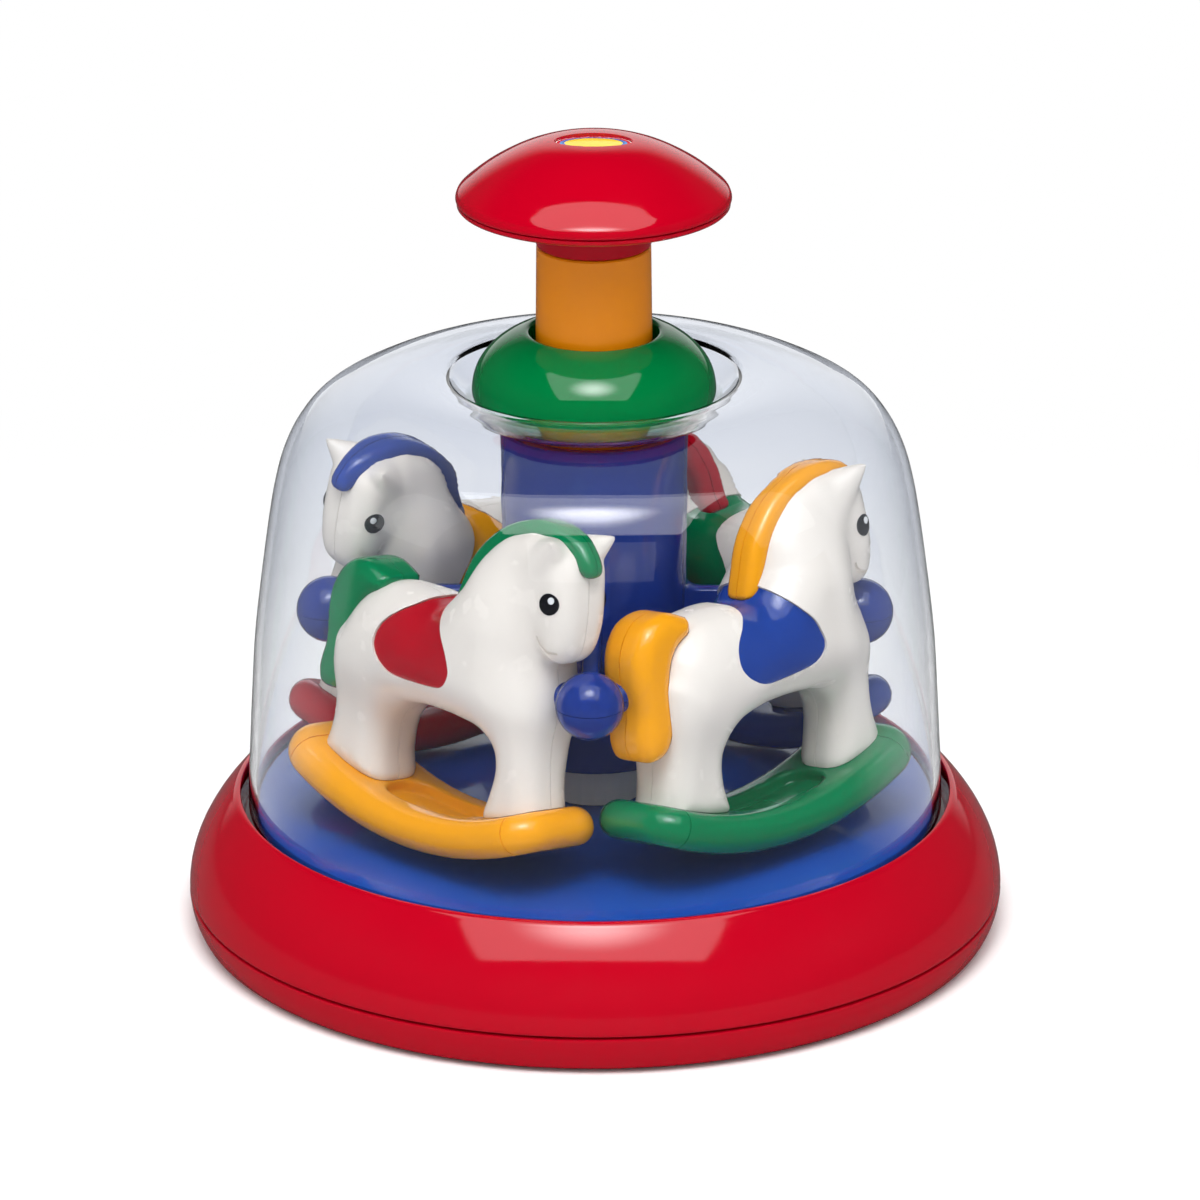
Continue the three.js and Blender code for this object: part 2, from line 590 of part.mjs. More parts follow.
function spindleGeometry() {
  const shaft = rod(SHAFT_RADIUS, SHAFT_BOTTOM_HEIGHT, SHAFT_TOP);
  const bar = twistedBar(TWIST_SIDE, TWIST_BOTTOM_HEIGHT, TWIST_TOP_HEIGHT + GAP);
  const seat = rod(SEAT_RADIUS, TWIST_TOP_HEIGHT, TWIST_TOP_HEIGHT + SEAT_THICKNESS, 24);
  return join(shaft, bar, seat);
}

// One-way clutch: saw teeth in a ring, pointing up on the spider and down on the driver

const TOOTH_ROOT_RADIUS = POST_RADIUS + RUNNING;
const TOOTH_WIDTH_SHARE = 0.55;

function toothRing(base, tip) {
  const teeth = Array.from({ length: TOOTH_COUNT }, (_, index) => {
    const span = FULL_TURN / TOOTH_COUNT;
    const wedge = new THREE.Shape();
    wedge.moveTo(0, 0);
    wedge.lineTo(HUB_RADIUS * span * TOOTH_WIDTH_SHARE, 0);
    wedge.lineTo(0, Math.abs(tip - base));
    const tooth = new THREE.ExtrudeGeometry(wedge, {
      depth: HUB_RADIUS - TOOTH_ROOT_RADIUS - GAP * 2, bevelEnabled: false,
    });
    tooth.rotateX(QUARTER).rotateZ(QUARTER);
    if (tip < base) tooth.rotateX(Math.PI);
    tooth.translate(TOOTH_ROOT_RADIUS + GAP, 0, base);
    return tooth.rotateZ(index * span);
  });
  return teeth;
}

function driverGeometry() {
  const bottom = POST_TOP_HEIGHT + GAP + TOOTH_HEIGHT;
  const plate = tube(HUB_RADIUS, SHAFT_RADIUS + GAP, bottom, bottom + DRIVER_THICKNESS);
  const foot = tube(POST_RADIUS, SHAFT_RADIUS + GAP, POST_TOP_HEIGHT + GAP, bottom + GAP);
  return join(plate, foot, ...toothRing(bottom + GAP / 2, bottom - TOOTH_HEIGHT + GAP));
}

// Post and thrust washer that carry the spider and the spindle

function postGeometry() {
  return revolve([
    [0, TRAY_FLOOR_TOP + GAP],
    [SHOULDER_RADIUS, TRAY_FLOOR_TOP + GAP],
    [SHOULDER_RADIUS, FLOOR_HEIGHT - FLOOR_THICKNESS - GAP],
    [POST_RADIUS, FLOOR_HEIGHT - FLOOR_THICKNESS - GAP],
    [POST_RADIUS, POST_TOP_HEIGHT],
    [SHAFT_RADIUS + RUNNING, POST_TOP_HEIGHT],
    [SHAFT_RADIUS + RUNNING, SHAFT_BOTTOM_HEIGHT - GAP],
    [0, SHAFT_BOTTOM_HEIGHT - GAP],
  ], SMALL_SEGMENTS);
}

const shoulderGeometry = () =>
  tube(SHOULDER_RADIUS, POST_RADIUS + GAP, FLOOR_HEIGHT + GAP, SHOULDER_HEIGHT);
const WASHER_BOTTOM = SHOULDER_HEIGHT + GAP;
const washerGeometry = () =>
  tube(SHOULDER_RADIUS - GAP, POST_RADIUS + GAP, WASHER_BOTTOM, WASHER_BOTTOM + WASHER_THICKNESS);

// Spider: column, arms, balls and studs in one form, parted across the middle of the arms

const armAngle = (index) => around(index, 4);

function studGeometry(growth) {
  const straight = (STUD_REACH - STUD_RADIUS) * 2;
  const stud = new THREE.CapsuleGeometry(STUD_RADIUS + growth, straight, 2, 10);
  return stud.translate(STUD_CIRCLE_RADIUS, 0, ARM_HEIGHT);
}

function armGeometry(index) {
  const start = COLUMN_RADIUS - COLUMN_WALL / 2;
  const end = STUD_CIRCLE_RADIUS;
  const bar = new THREE.BoxGeometry(end - start, ARM_WIDTH, ARM_DEPTH);
  bar.translate((start + end) / 2, 0, ARM_HEIGHT);
  const ball = new THREE.SphereGeometry(BALL_RADIUS, 14, 8).rotateX(QUARTER);
  ball.translate(BALL_CIRCLE_RADIUS, 0, ARM_HEIGHT);
  return join(bar, ball, studGeometry(0)).rotateZ(armAngle(index));
}

function columnGeometry() {
  const inner = COLUMN_RADIUS - COLUMN_WALL;
  const bore = POST_RADIUS + RUNNING;
  return revolve([
    [bore, COLUMN_BOTTOM_HEIGHT],
    [COLUMN_RADIUS, COLUMN_BOTTOM_HEIGHT],
    [COLUMN_RADIUS, COLUMN_TOP_HEIGHT],
    [COLUMN_LIP_RADIUS, COLUMN_TOP_HEIGHT],
    [COLUMN_LIP_RADIUS, COLUMN_TOP_HEIGHT - COLUMN_LIP_HEIGHT],
    [inner, COLUMN_TOP_HEIGHT - COLUMN_LIP_HEIGHT],
    [inner, COLUMN_BOTTOM_HEIGHT + COLUMN_WALL],
    [HUB_RADIUS, COLUMN_BOTTOM_HEIGHT + COLUMN_WALL],
    [HUB_RADIUS, HUB_TOP_HEIGHT],
    [bore, HUB_TOP_HEIGHT],
  ], SMALL_SEGMENTS);
}

function spiderGeometries() {
  const whole = join(columnGeometry(), ...[0, 1, 2, 3].map(armGeometry));
  const upper = common(whole, slab(BASE_RADIUS, ARM_HEIGHT + GAP / 2, COLUMN_TOP_HEIGHT + OVERRUN));
  const below = common(whole, slab(BASE_RADIUS, COLUMN_BOTTOM_HEIGHT - OVERRUN, ARM_HEIGHT - GAP / 2));
  const teeth = toothRing(HUB_TOP_HEIGHT - GAP / 2, HUB_TOP_HEIGHT + TOOTH_HEIGHT);
  return { upper, lower: join(below, ...teeth) };
}

// Horses: side outlines as shares of HORSE_REACH and HORSE_STATURE, front to the right

const TORSO_SHARES = [
  [0.74, 0.58], [0.71, 0.45], [0.62, 0.3], [0.3, 0.28], [-0.1, 0.27], [-0.5, 0.28],
  [-0.6, 0.42], [-0.56, 0.58], [-0.38, 0.66], [-0.1, 0.665], [0.14, 0.66], [0.24, 0.76],
  [0.4, 0.9], [0.62, 0.95], [0.74, 0.8],
];
const HEAD_SHARES = [
  [0.56, 0.95], [0.74, 0.965], [0.85, 0.9], [0.885, 0.78], [0.88, 0.66], [0.83, 0.585],
  [0.7, 0.6], [0.61, 0.68], [0.5, 0.8],
];
const FRONT_LEG_SHARES = [
  [0.3, 0.4], [0.46, 0.2], [0.45, 0.03], [0.6, -0.06], [0.8, -0.02], [0.76, 0.2], [0.7, 0.42],
];
const HIND_LEG_SHARES = [
  [-0.58, 0.42], [-0.59, 0.22], [-0.64, 0.03], [-0.5, -0.03], [-0.28, -0.06], [-0.27, 0.12],
  [-0.1, 0.36],
];
const MANE_SHARES = [
  [-0.02, 0.68], [0.06, 0.78], [0.2, 0.9], [0.36, 1], [0.54, 1.035], [0.72, 1],
  [0.83, 0.885], [0.76, 0.87], [0.66, 0.93], [0.5, 0.93], [0.34, 0.84], [0.23, 0.72],
  [0.16, 0.68], [0.08, 0.675],
];
const TAIL_SHARES = [
  [-0.4, 0.65], [-0.54, 0.69], [-0.68, 0.63], [-0.73, 0.5], [-0.71, 0.37], [-0.73, 0.26],
  [-0.66, 0.22], [-0.58, 0.28], [-0.58, 0.44], [-0.54, 0.56],
];
const EAR_SHARE = [0.74, 0.893];
const SADDLE_SHARES = [
  [-0.03, 0.7], [-0.12, 0.6], [-0.22, 0.46], [-0.14, 0.38], [0.06, 0.36], [0.28, 0.39],
  [0.3, 0.44], [0.24, 0.54], [0.24, 0.68],
];

function outline(shares) {
  const points = shares.map(([along, up]) =>
    new THREE.Vector2(along * HORSE_REACH, up * HORSE_STATURE));
  const curve = new THREE.SplineCurve([...points, points[0]]);
  return curve.getPoints(Math.round(points.length * OUTLINE_DENSITY)).slice(0, -1);
}

// Distance from a point of an outline straight inward to the far side
function depthInside(points, from, inward) {
  return points.reduce((nearest, start, index) => {
    const edge = points[(index + 1) % points.length].clone().sub(start);
    const across = inward.cross(edge);
    const offset = start.clone().sub(from);
    const distance = offset.cross(edge) / across;
    const share = offset.cross(inward) / across;
    const hit = distance > MERGE && share >= 0 && share <= 1;
    return hit ? Math.min(nearest, distance) : nearest;
  }, Infinity);
}

// For each point of an outline: its outward direction, how much farther a corner moves than
// its sides when the outline grows, and how far its edge can be rounded
function roundingRoom(points, rounding) {
  const winding = Math.sign(THREE.ShapeUtils.area(points));
  const near = (index) => points[(index + points.length) % points.length];
  const facing = (index) => {
    const run = near(index + 1).clone().sub(near(index)).normalize();
    return new THREE.Vector2(run.y, -run.x).multiplyScalar(winding);
  };
  const corners = points.map((_, index) => {
    const outward = facing(index - 1).add(facing(index)).normalize();
    const mitre = 1 / Math.max(outward.dot(facing(index)), MITRE_LIMIT);
    const depth = depthInside(points, points[index], outward.clone().negate());
    return { outward, mitre, depth };
  });
  return corners.map(({ outward, mitre }, index) => {
    const tightest = Math.min(...[-1, 0, 1].map((step) =>
      corners[(index + step + points.length) % points.length].depth));
    return { outward, mitre, room: Math.min(rounding, tightest * ROUNDING_SHARE) };
  });
}

// A side outline made as thick as the piece, with its edges rounded on both sides
function puffed(points, halfWidth, rounding, growth = 0) {
  const half = halfWidth + growth;
  const steps = ROUND_STEPS * 2 + 1;
  const geometry = new THREE.ExtrudeGeometry(
    new THREE.Shape(points), { depth: steps, steps, bevelEnabled: false });
  const rooms = roundingRoom(points, rounding);
  const place = geometry.attributes.position;
  for (let index = 0; index < place.count; index += 1) {
    const here = new THREE.Vector2(place.getX(index), place.getY(index));
    const corner = points.findIndex((point) => point.distanceTo(here) < MERGE);
    const layer = Math.round(place.getZ(index));
    const side = layer > ROUND_STEPS ? 1 : -1;
    const turn = (QUARTER * (side < 0 ? layer : steps - layer)) / ROUND_STEPS;
    const { outward, mitre, room } = rooms[corner];
    here.addScaledVector(outward, growth * mitre - room * (1 - Math.sin(turn)));
    place.setXYZ(index, here.x, here.y, side * (half - rounding * (1 - Math.cos(turn))));
  }
  return geometry;
}

// Where a horse stands: t ahead, h up in its leaning middle plane, w outward
function horseFrame(azimuth) {
  const [cos, sin] = [Math.cos(azimuth), Math.sin(azimuth)];
  const [leanCos, leanSin] = [Math.cos(HORSE_LEAN), Math.sin(HORSE_LEAN)];
  const ahead = new THREE.Vector3(-sin, cos, 0);
  const up = new THREE.Vector3(-leanSin * cos, -leanSin * sin, leanCos);
  const outward = new THREE.Vector3(leanCos * cos, leanCos * sin, leanSin);
  return new THREE.Matrix4().makeBasis(ahead, up, outward)
    .setPosition(HORSE_CIRCLE_RADIUS * cos, HORSE_CIRCLE_RADIUS * sin, HOOF_HEIGHT);
}

// The arms before and behind a horse, grown by their clearance, in the horse's own frame:
// as they lie at rest, and as they lie once the horse has swung out about the stud tips
function armClearances() {
  const grown = RUNNING * 2;
  const bar = new THREE.BoxGeometry(STUD_CIRCLE_RADIUS, ARM_WIDTH + grown, ARM_DEPTH + grown);
  bar.translate(STUD_CIRCLE_RADIUS / 2, 0, ARM_HEIGHT);
  const arm = join(bar, studGeometry(RUNNING));
  const tipRadius = (STUD_CIRCLE_RADIUS + STUD_REACH - STUD_RADIUS) * Math.cos(HALF_SPACING);
  const toHorse = horseFrame(0).invert();
  return [HALF_SPACING, -HALF_SPACING].flatMap((angle) => [0, SWING_LIMIT].map((swing) =>
    arm.clone().rotateZ(angle).translate(-tipRadius, 0, -ARM_HEIGHT).rotateY(swing)
      .translate(tipRadius, 0, ARM_HEIGHT).applyMatrix4(toHorse)));
}

// Part of a ring as an outline, between two radii about the rocker's centre
function rockerBand(outer, inner, rear, front) {
  const centreHeight = ROCKER_ARC_RADIUS - ROCKER_DROP;
  const arc = (radius) => Array.from({ length: ROCKER_STEPS + 1 }, (_, index) => {
    const along = rear + ((front - rear) * index) / ROCKER_STEPS - ROCKER_MIDDLE;
    const sweep = Math.asin(along / ROCKER_ARC_RADIUS);
    return new THREE.Vector2(
      ROCKER_MIDDLE + radius * Math.sin(sweep), centreHeight - radius * Math.cos(sweep));
  });
  return [...arc(outer), ...arc(inner).reverse()];
}

function rockerSolid(growth) {
  const top = ROCKER_ARC_RADIUS - ROCKER_THICKNESS;
  const band = rockerBand(ROCKER_ARC_RADIUS, top, ROCKER_REAR, ROCKER_FRONT);
  return puffed(band, ROCKER_HALF_WIDTH, ROCKER_ROUNDING, growth);
}

function rockerGeometry() {
  const top = ROCKER_ARC_RADIUS - ROCKER_THICKNESS;
  const trough = rockerBand(top + CHANNEL_DEPTH, top - OVERRUN, CHANNEL_REAR, CHANNEL_FRONT);
  const channel = new THREE.ExtrudeGeometry(new THREE.Shape(trough), {
    depth: CHANNEL_HALF_WIDTH * 2, bevelEnabled: false,
  });
  return cut(rockerSolid(0), channel.translate(0, 0, -CHANNEL_HALF_WIDTH));
}

function earGeometry(side) {
  const ear = new THREE.ConeGeometry(EAR_RADIUS, EAR_LENGTH, 6).translate(0, EAR_LENGTH / 2, 0);
  ear.rotateZ(-EAR_TILT);
  return ear.translate(EAR_SHARE[0] * HORSE_REACH, EAR_SHARE[1] * HORSE_STATURE, side * EAR_SPREAD);
}

const torsoSolid = (growth) =>
  puffed(outline(TORSO_SHARES), TORSO_HALF_WIDTH, TORSO_ROUNDING, growth);
const maneSolid = (growth) => puffed(outline(MANE_SHARES), MANE_HALF_WIDTH, MANE_ROUNDING, growth);
const tailSolid = (growth) => puffed(outline(TAIL_SHARES), TAIL_HALF_WIDTH, TAIL_ROUNDING, growth);
const saddlePrism = (growth) => puffed(outline(SADDLE_SHARES), HORSE_REACH, GAP, growth);

function horseGeometries() {
  const arms = armClearances();
  const body = join(
    torsoSolid(0),
    puffed(outline(HEAD_SHARES), HEAD_HALF_WIDTH, HEAD_ROUNDING),
    puffed(outline(FRONT_LEG_SHARES), LEG_HALF_WIDTH, LEG_ROUNDING),
    puffed(outline(HIND_LEG_SHARES), LEG_HALF_WIDTH, LEG_ROUNDING),
    earGeometry(1),
    earGeometry(-1),
  );
  const saddleRoom = cut(saddlePrism(GAP), torsoSolid(-SADDLE_THICKNESS - GAP));
  const trimmed = cut(body, maneSolid(GAP), tailSolid(GAP), saddleRoom, rockerSolid(GAP), ...arms);
  const half = (side) => {
    const block = new THREE.BoxGeometry(HORSE_REACH * 4, HORSE_STATURE * 4, HORSE_REACH);
    return common(trimmed, block.translate(0, 0, side * (HORSE_REACH + GAP) / 2));
  };
  const skin = cut(common(torsoSolid(0), saddlePrism(0)), torsoSolid(-SADDLE_THICKNESS));
  return {
    body_outer: half(1),
    body_inner: half(-1),
    mane: cut(maneSolid(0), ...arms),
    saddle: cut(skin, maneSolid(GAP)),
    tail: cut(tailSolid(0), ...arms),
    rocker: rockerGeometry(),
  };
}

// The assembled toy

const HORSES = [
  { name: 'horse_1', turns: 5 / 8, mane: green, saddle: red, rocker: amber },
  { name: 'horse_2', turns: 7 / 8, mane: amber, saddle: blue, rocker: green },
  { name: 'horse_3', turns: 1 / 8, mane: red, saddle: green, rocker: blue },
  { name: 'horse_4', turns: 3 / 8, mane: blue, saddle: amber, rocker: red },
];

const toy = new THREE.Group();
toy.name = 'carousel_toy';

function add(name, geometry, material) {
  const own = material.clone();
  own.name = name;
  const mesh = new THREE.Mesh(geometry, own);
  mesh.name = name;
  toy.add(mesh);
}

function addBase() {
  add('base_tray', trayGeometry(), red);
  add('base_ring', ringGeometry(), red);
  screwPlaces().forEach(([x, y], index) =>
    add(`base_screw_${index + 1}`, screwGeometry().translate(x, y, 0), steel));
  add('floor_disc', floorGeometry(), floorBlue);
  add('dome', domeGeometry(), clear);
  add('dome_collar', collarGeometry(), green);
  add('centre_post', postGeometry(), white);
  add('post_sleeve', shoulderGeometry(), white);
  add('thrust_washer', washerGeometry(), steel);
}

function addPlunger() {
  add('plunger_tube', tubeGeometry(), amber);
  add('drive_nut', nutGeometry(), white);
  add('knob_disc', knobDiscGeometry(), red);
  add('knob_cap', knobCapGeometry(), red);
  add('knob_badge', badgeGeometry(), white);
  add('return_spring', springGeometry(), steel);
}

function addSpindle() {
  add('drive_spindle', spindleGeometry(), white);
  add('clutch_driver', driverGeometry(), white);
}

function addCarousel() {
  const { upper, lower } = spiderGeometries();
  add('spider_upper', upper, blue);
  add('spider_lower', lower, blue);
  const pieces = horseGeometries();
  HORSES.forEach(({ name, turns, mane, saddle, rocker }) => {
    const finishes = {
      body_outer: white, body_inner: white, mane, saddle, tail: mane, rocker,
    };
    const frame = horseFrame(turns * FULL_TURN);
    Object.entries(pieces).forEach(([piece, geometry]) =>
      add(`${name}_${piece}`, geometry.clone().applyMatrix4(frame), finishes[piece]));
  });
}

addBase();
addPlunger();
addSpindle();
addCarousel();

export default toy;
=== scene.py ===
import json
import math

import bmesh
import bpy
import numpy as np
from mathutils import Matrix, Vector

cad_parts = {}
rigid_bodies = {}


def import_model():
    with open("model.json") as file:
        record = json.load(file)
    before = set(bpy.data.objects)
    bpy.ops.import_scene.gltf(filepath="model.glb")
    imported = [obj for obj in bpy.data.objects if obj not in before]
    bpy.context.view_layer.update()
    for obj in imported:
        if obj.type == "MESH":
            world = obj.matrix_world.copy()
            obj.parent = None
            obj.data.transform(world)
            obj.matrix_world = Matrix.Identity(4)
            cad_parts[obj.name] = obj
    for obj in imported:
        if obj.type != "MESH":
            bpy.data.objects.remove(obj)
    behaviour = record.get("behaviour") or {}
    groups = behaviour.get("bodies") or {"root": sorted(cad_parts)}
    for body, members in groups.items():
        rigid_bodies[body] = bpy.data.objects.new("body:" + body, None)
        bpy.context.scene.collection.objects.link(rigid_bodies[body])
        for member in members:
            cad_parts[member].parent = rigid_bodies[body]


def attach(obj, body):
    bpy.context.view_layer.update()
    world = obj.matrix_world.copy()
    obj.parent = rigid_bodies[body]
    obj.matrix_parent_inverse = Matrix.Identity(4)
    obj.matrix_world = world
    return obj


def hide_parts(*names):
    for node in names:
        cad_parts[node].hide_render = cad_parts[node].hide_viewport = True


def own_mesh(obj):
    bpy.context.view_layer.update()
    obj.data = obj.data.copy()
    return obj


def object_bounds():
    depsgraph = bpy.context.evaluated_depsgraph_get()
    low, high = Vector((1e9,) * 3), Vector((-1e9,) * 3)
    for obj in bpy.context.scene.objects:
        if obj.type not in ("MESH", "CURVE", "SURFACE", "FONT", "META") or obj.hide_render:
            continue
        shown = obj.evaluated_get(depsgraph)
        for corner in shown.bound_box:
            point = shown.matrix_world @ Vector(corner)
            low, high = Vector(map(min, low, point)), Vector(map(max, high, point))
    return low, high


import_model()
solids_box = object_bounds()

# The camera stands a little above the toy and straight in front of it, far enough back
# that the base and the knob are seen at almost one scale.
photo_azimuth = math.radians(1.02)
photo_elevation = math.radians(20.41)
photo_roll = math.radians(-0.12)
photo_distance = 1.8
photo_focal_share = 7386.6 / 1200

backward = Vector((math.sin(photo_azimuth) * math.cos(photo_elevation),
                   -math.cos(photo_azimuth) * math.cos(photo_elevation),
                   math.sin(photo_elevation)))
sideways = Vector((math.cos(photo_azimuth), math.sin(photo_azimuth), 0))
upward = backward.cross(sideways)
looked_at = sideways * 0.00132 + Vector((0, 0, 0.08253))
rolled_side = sideways * math.cos(photo_roll) + upward * math.sin(photo_roll)
rolled_up = upward * math.cos(photo_roll) - sideways * math.sin(photo_roll)

camera_data = bpy.data.cameras.new("photo_camera")
camera_data.sensor_width = 36
camera_data.lens = photo_focal_share * camera_data.sensor_width
camera_data.clip_start = 0.05
camera_data.clip_end = 20
camera = bpy.data.objects.new("photo_camera", camera_data)
bpy.context.collection.objects.link(camera)
camera.matrix_world = Matrix.Translation(looked_at + backward * photo_distance) @ Matrix(
    (rolled_side, rolled_up, backward)).transposed().to_4x4()
bpy.context.scene.camera = camera
bpy.context.scene.view_settings.view_transform = "Standard"

# The studio: white paper under the toy, a white backdrop behind it, and a wide soft lamp
# above and in front, brightest in its middle. Weaker lamps that no surface mirrors fill
# the sides. Camera and glass see white all round.
paper_colour = (0.84, 0.84, 0.85, 1)
paper_mirrored_colour = (0.12, 0.12, 0.12, 1)
paper_seen_colour = (1.04, 1.04, 1.04, 1)
white_behind_glass = (0.83, 0.86, 0.94, 1)
lit_paper_reach = (0.16, 0.42)


def maths(nodes, links, operation, *values):
    """A maths node; each value is a number or a socket."""
    node = nodes.new("ShaderNodeMath")
    node.operation = operation
    for socket, value in zip(node.inputs, values):
        if isinstance(value, (int, float)):
            socket.default_value = value
        else:
            links.new(value, socket)
    return node.outputs[0]


def ramp(nodes, links, value, start, end, low=0.0, high=1.0):
    """A soft step from low to high while the value goes from start to end."""
    node = nodes.new("ShaderNodeMapRange")
    node.interpolation_type = "SMOOTHSTEP"
    links.new(value, node.inputs["Value"])
    for socket, number in zip(("From Min", "From Max", "To Min", "To Max"),
                              (start, end, low, high)):
        node.inputs[socket].default_value = number
    return node.outputs["Result"]


def blend(nodes, links, factor, first, second, kind="FLOAT"):
    """A mix of two values or two colours; each is a number, a colour or a socket."""
    node = nodes.new("ShaderNodeMix")
    node.data_type = kind
    links.new(factor, node.inputs["Factor"])
    slots = {"FLOAT": (2, 3), "RGBA": (6, 7)}[kind]
    for slot, value in zip(slots, (first, second)):
        if isinstance(value, (int, float, tuple)):
            node.inputs[slot].default_value = value
        else:
            links.new(value, node.inputs[slot])
    return node.outputs[{"FLOAT": 0, "RGBA": 2}[kind]]


def looked_at(nodes, links, ray, behind):
    """Rays from the camera, also through the glass, but not those that it sends back."""
    unmirrored = maths(nodes, links, "LESS_THAN", ray.outputs["Glossy Depth"], 0.5)
    through = maths(nodes, links, "MULTIPLY", ray.outputs["Is Transmission Ray"],
                    maths(nodes, links, "MAXIMUM", unmirrored, behind))
    return maths(nodes, links, "MAXIMUM", ray.outputs["Is Camera Ray"], through)


def seen_white(nodes, links, ray):
    """What rays from the camera see as white, a shade less through the glass."""
    return blend(nodes, links, ray.outputs["Is Transmission Ray"], (1, 1, 1, 1),
                 white_behind_glass, "RGBA")


floor_mesh = bpy.data.meshes.new("studio_floor")
floor_mesh.from_pydata([(-6, -6, 0), (6, -6, 0), (6, 6, 0), (-6, 6, 0)], [], [(0, 1, 2, 3)])
studio_floor = bpy.data.objects.new("studio_floor", floor_mesh)
bpy.context.collection.objects.link(studio_floor)
studio_floor.location.z = solids_box[0][2] - 0.0002

floor_material = bpy.data.materials.new("studio_floor")
floor_material.use_nodes = True
nodes, links = floor_material.node_tree.nodes, floor_material.node_tree.links
floor_shader = nodes["Principled BSDF"]
floor_shader.inputs["Roughness"].default_value = 0.9
floor_shader.inputs["Specular IOR Level"].default_value = 0.0
ray = nodes.new("ShaderNodeLightPath")
place = nodes.new("ShaderNodeTexCoord")
parts = nodes.new("ShaderNodeSeparateXYZ")
links.new(place.outputs["Object"], parts.inputs["Vector"])
seen = looked_at(nodes, links, ray, ramp(nodes, links, parts.outputs["Y"], -0.05, 0.05))
reach = nodes.new("ShaderNodeVectorMath")
reach.operation = "LENGTH"
links.new(place.outputs["Object"], reach.inputs[0])
far = ramp(nodes, links, reach.outputs["Value"], *lit_paper_reach)
unseen = blend(nodes, links, ray.outputs["Is Glossy Ray"], paper_colour,
               paper_mirrored_colour, "RGBA")
links.new(blend(nodes, links, seen, unseen, paper_seen_colour, "RGBA"),
          floor_shader.inputs["Base Color"])
plain_white = nodes.new("ShaderNodeEmission")
links.new(seen_white(nodes, links, ray), plain_white.inputs["Color"])
floor_mix = nodes.new("ShaderNodeMixShader")
links.new(maths(nodes, links, "MULTIPLY", far, seen), floor_mix.inputs["Fac"])
links.new(floor_shader.outputs["BSDF"], floor_mix.inputs[1])
links.new(plain_white.outputs["Emission"], floor_mix.inputs[2])
links.new(floor_mix.outputs["Shader"], nodes["Material Output"].inputs["Surface"])
floor_mesh.materials.append(floor_material)

surround = bpy.data.worlds.new("studio_surround")
surround.use_nodes = True
nodes, links = surround.node_tree.nodes, surround.node_tree.links
ray = nodes.new("ShaderNodeLightPath")
place = nodes.new("ShaderNodeTexCoord")
way = nodes.new("ShaderNodeSeparateXYZ")
links.new(place.outputs["Generated"], way.inputs["Vector"])
seen = looked_at(nodes, links, ray, ramp(nodes, links, way.outputs["Y"], -0.5, 0.0))
backdrop = ramp(nodes, links, way.outputs["Y"], 0.80, 0.99, 0.06, 1.0)
up_to_dark = ramp(nodes, links, way.outputs["Z"], 0.38, 0.75, 1.0, 0.04)
mirrored_round = maths(nodes, links, "MULTIPLY", backdrop, up_to_dark)
unseen = blend(nodes, links, ray.outputs["Is Glossy Ray"], 0.36, mirrored_round)
links.new(blend(nodes, links, seen, unseen, 1.0), nodes["Background"].inputs["Strength"])
links.new(seen_white(nodes, links, ray), nodes["Background"].inputs["Color"])
bpy.context.scene.world = surround


def lamp_bank(name, azimuth, elevation, distance, width, height, watts, mirrored=True):
    data = bpy.data.lights.new(name, "AREA")
    data.shape = "RECTANGLE"
    data.size, data.size_y = width, height
    data.energy = watts
    lamp = bpy.data.objects.new(name, data)
    bpy.context.collection.objects.link(lamp)
    side, rise = math.radians(azimuth), math.radians(elevation)
    out = Vector((math.sin(side) * math.cos(rise), -math.cos(side) * math.cos(rise),
                  math.sin(rise)))
    lamp.location = Vector((0, 0, 0.1)) + out * distance
    lamp.rotation_euler = out.to_track_quat("Z", "Y").to_euler()
    lamp.visible_glossy = mirrored
    return data


soft_lamp = lamp_bank("overhead_bank", 0, 66, 1.0, 1.2, 1.0, 8.9)
soft_lamp.use_nodes = True
nodes, links = soft_lamp.node_tree.nodes, soft_lamp.node_tree.links
place = nodes.new("ShaderNodeNewGeometry")
off_middle = nodes.new("ShaderNodeVectorMath")
off_middle.operation = "DISTANCE"
off_middle.inputs[1].default_value = (0.5, 0.40, 0)
links.new(place.outputs["Parametric"], off_middle.inputs[0])
links.new(ramp(nodes, links, off_middle.outputs["Value"], 0.0, 0.32, 6.4, 0.90),
          nodes["Emission"].inputs["Strength"])
lamp_bank("front_bank", 0, 20, 1.5, 1.2, 0.7, 2.4, mirrored=False)
lamp_bank("left_bank", -72, 30, 1.5, 0.7, 1.0, 2.5, mirrored=False)
lamp_bank("right_bank", 75, 30, 1.5, 0.7, 1.0, 2, mirrored=False)

# Base: two red mouldings in glossy styrene. The tray below carries the toy on a flat rim
# and is screwed from underneath to the ring, whose lip holds the dome down.
seam_height = 9.8
seam_width = 0.5
base_radius = 100.0
ring_lip_radius = 87.1
plastic_red = (0.44, 0.001, 0.012, 1)


def spline(points, steps):
    """Points of a smooth line through the given ones (Catmull-Rom)."""
    line = []
    for i in range(len(points) - 1):
        before = points[max(i - 1, 0)]
        start, end = points[i], points[i + 1]
        after = points[min(i + 2, len(points) - 1)]
        for s in range(steps):
            t = s / steps
            line.append(tuple(
                0.5 * (2 * b + (c - a) * t + (2 * a - 5 * b + 4 * c - d) * t * t
                       + (3 * b - a - 3 * c + d) * t ** 3)
                for a, b, c, d in zip(before, start, end, after)))
    return line + [tuple(points[-1])]


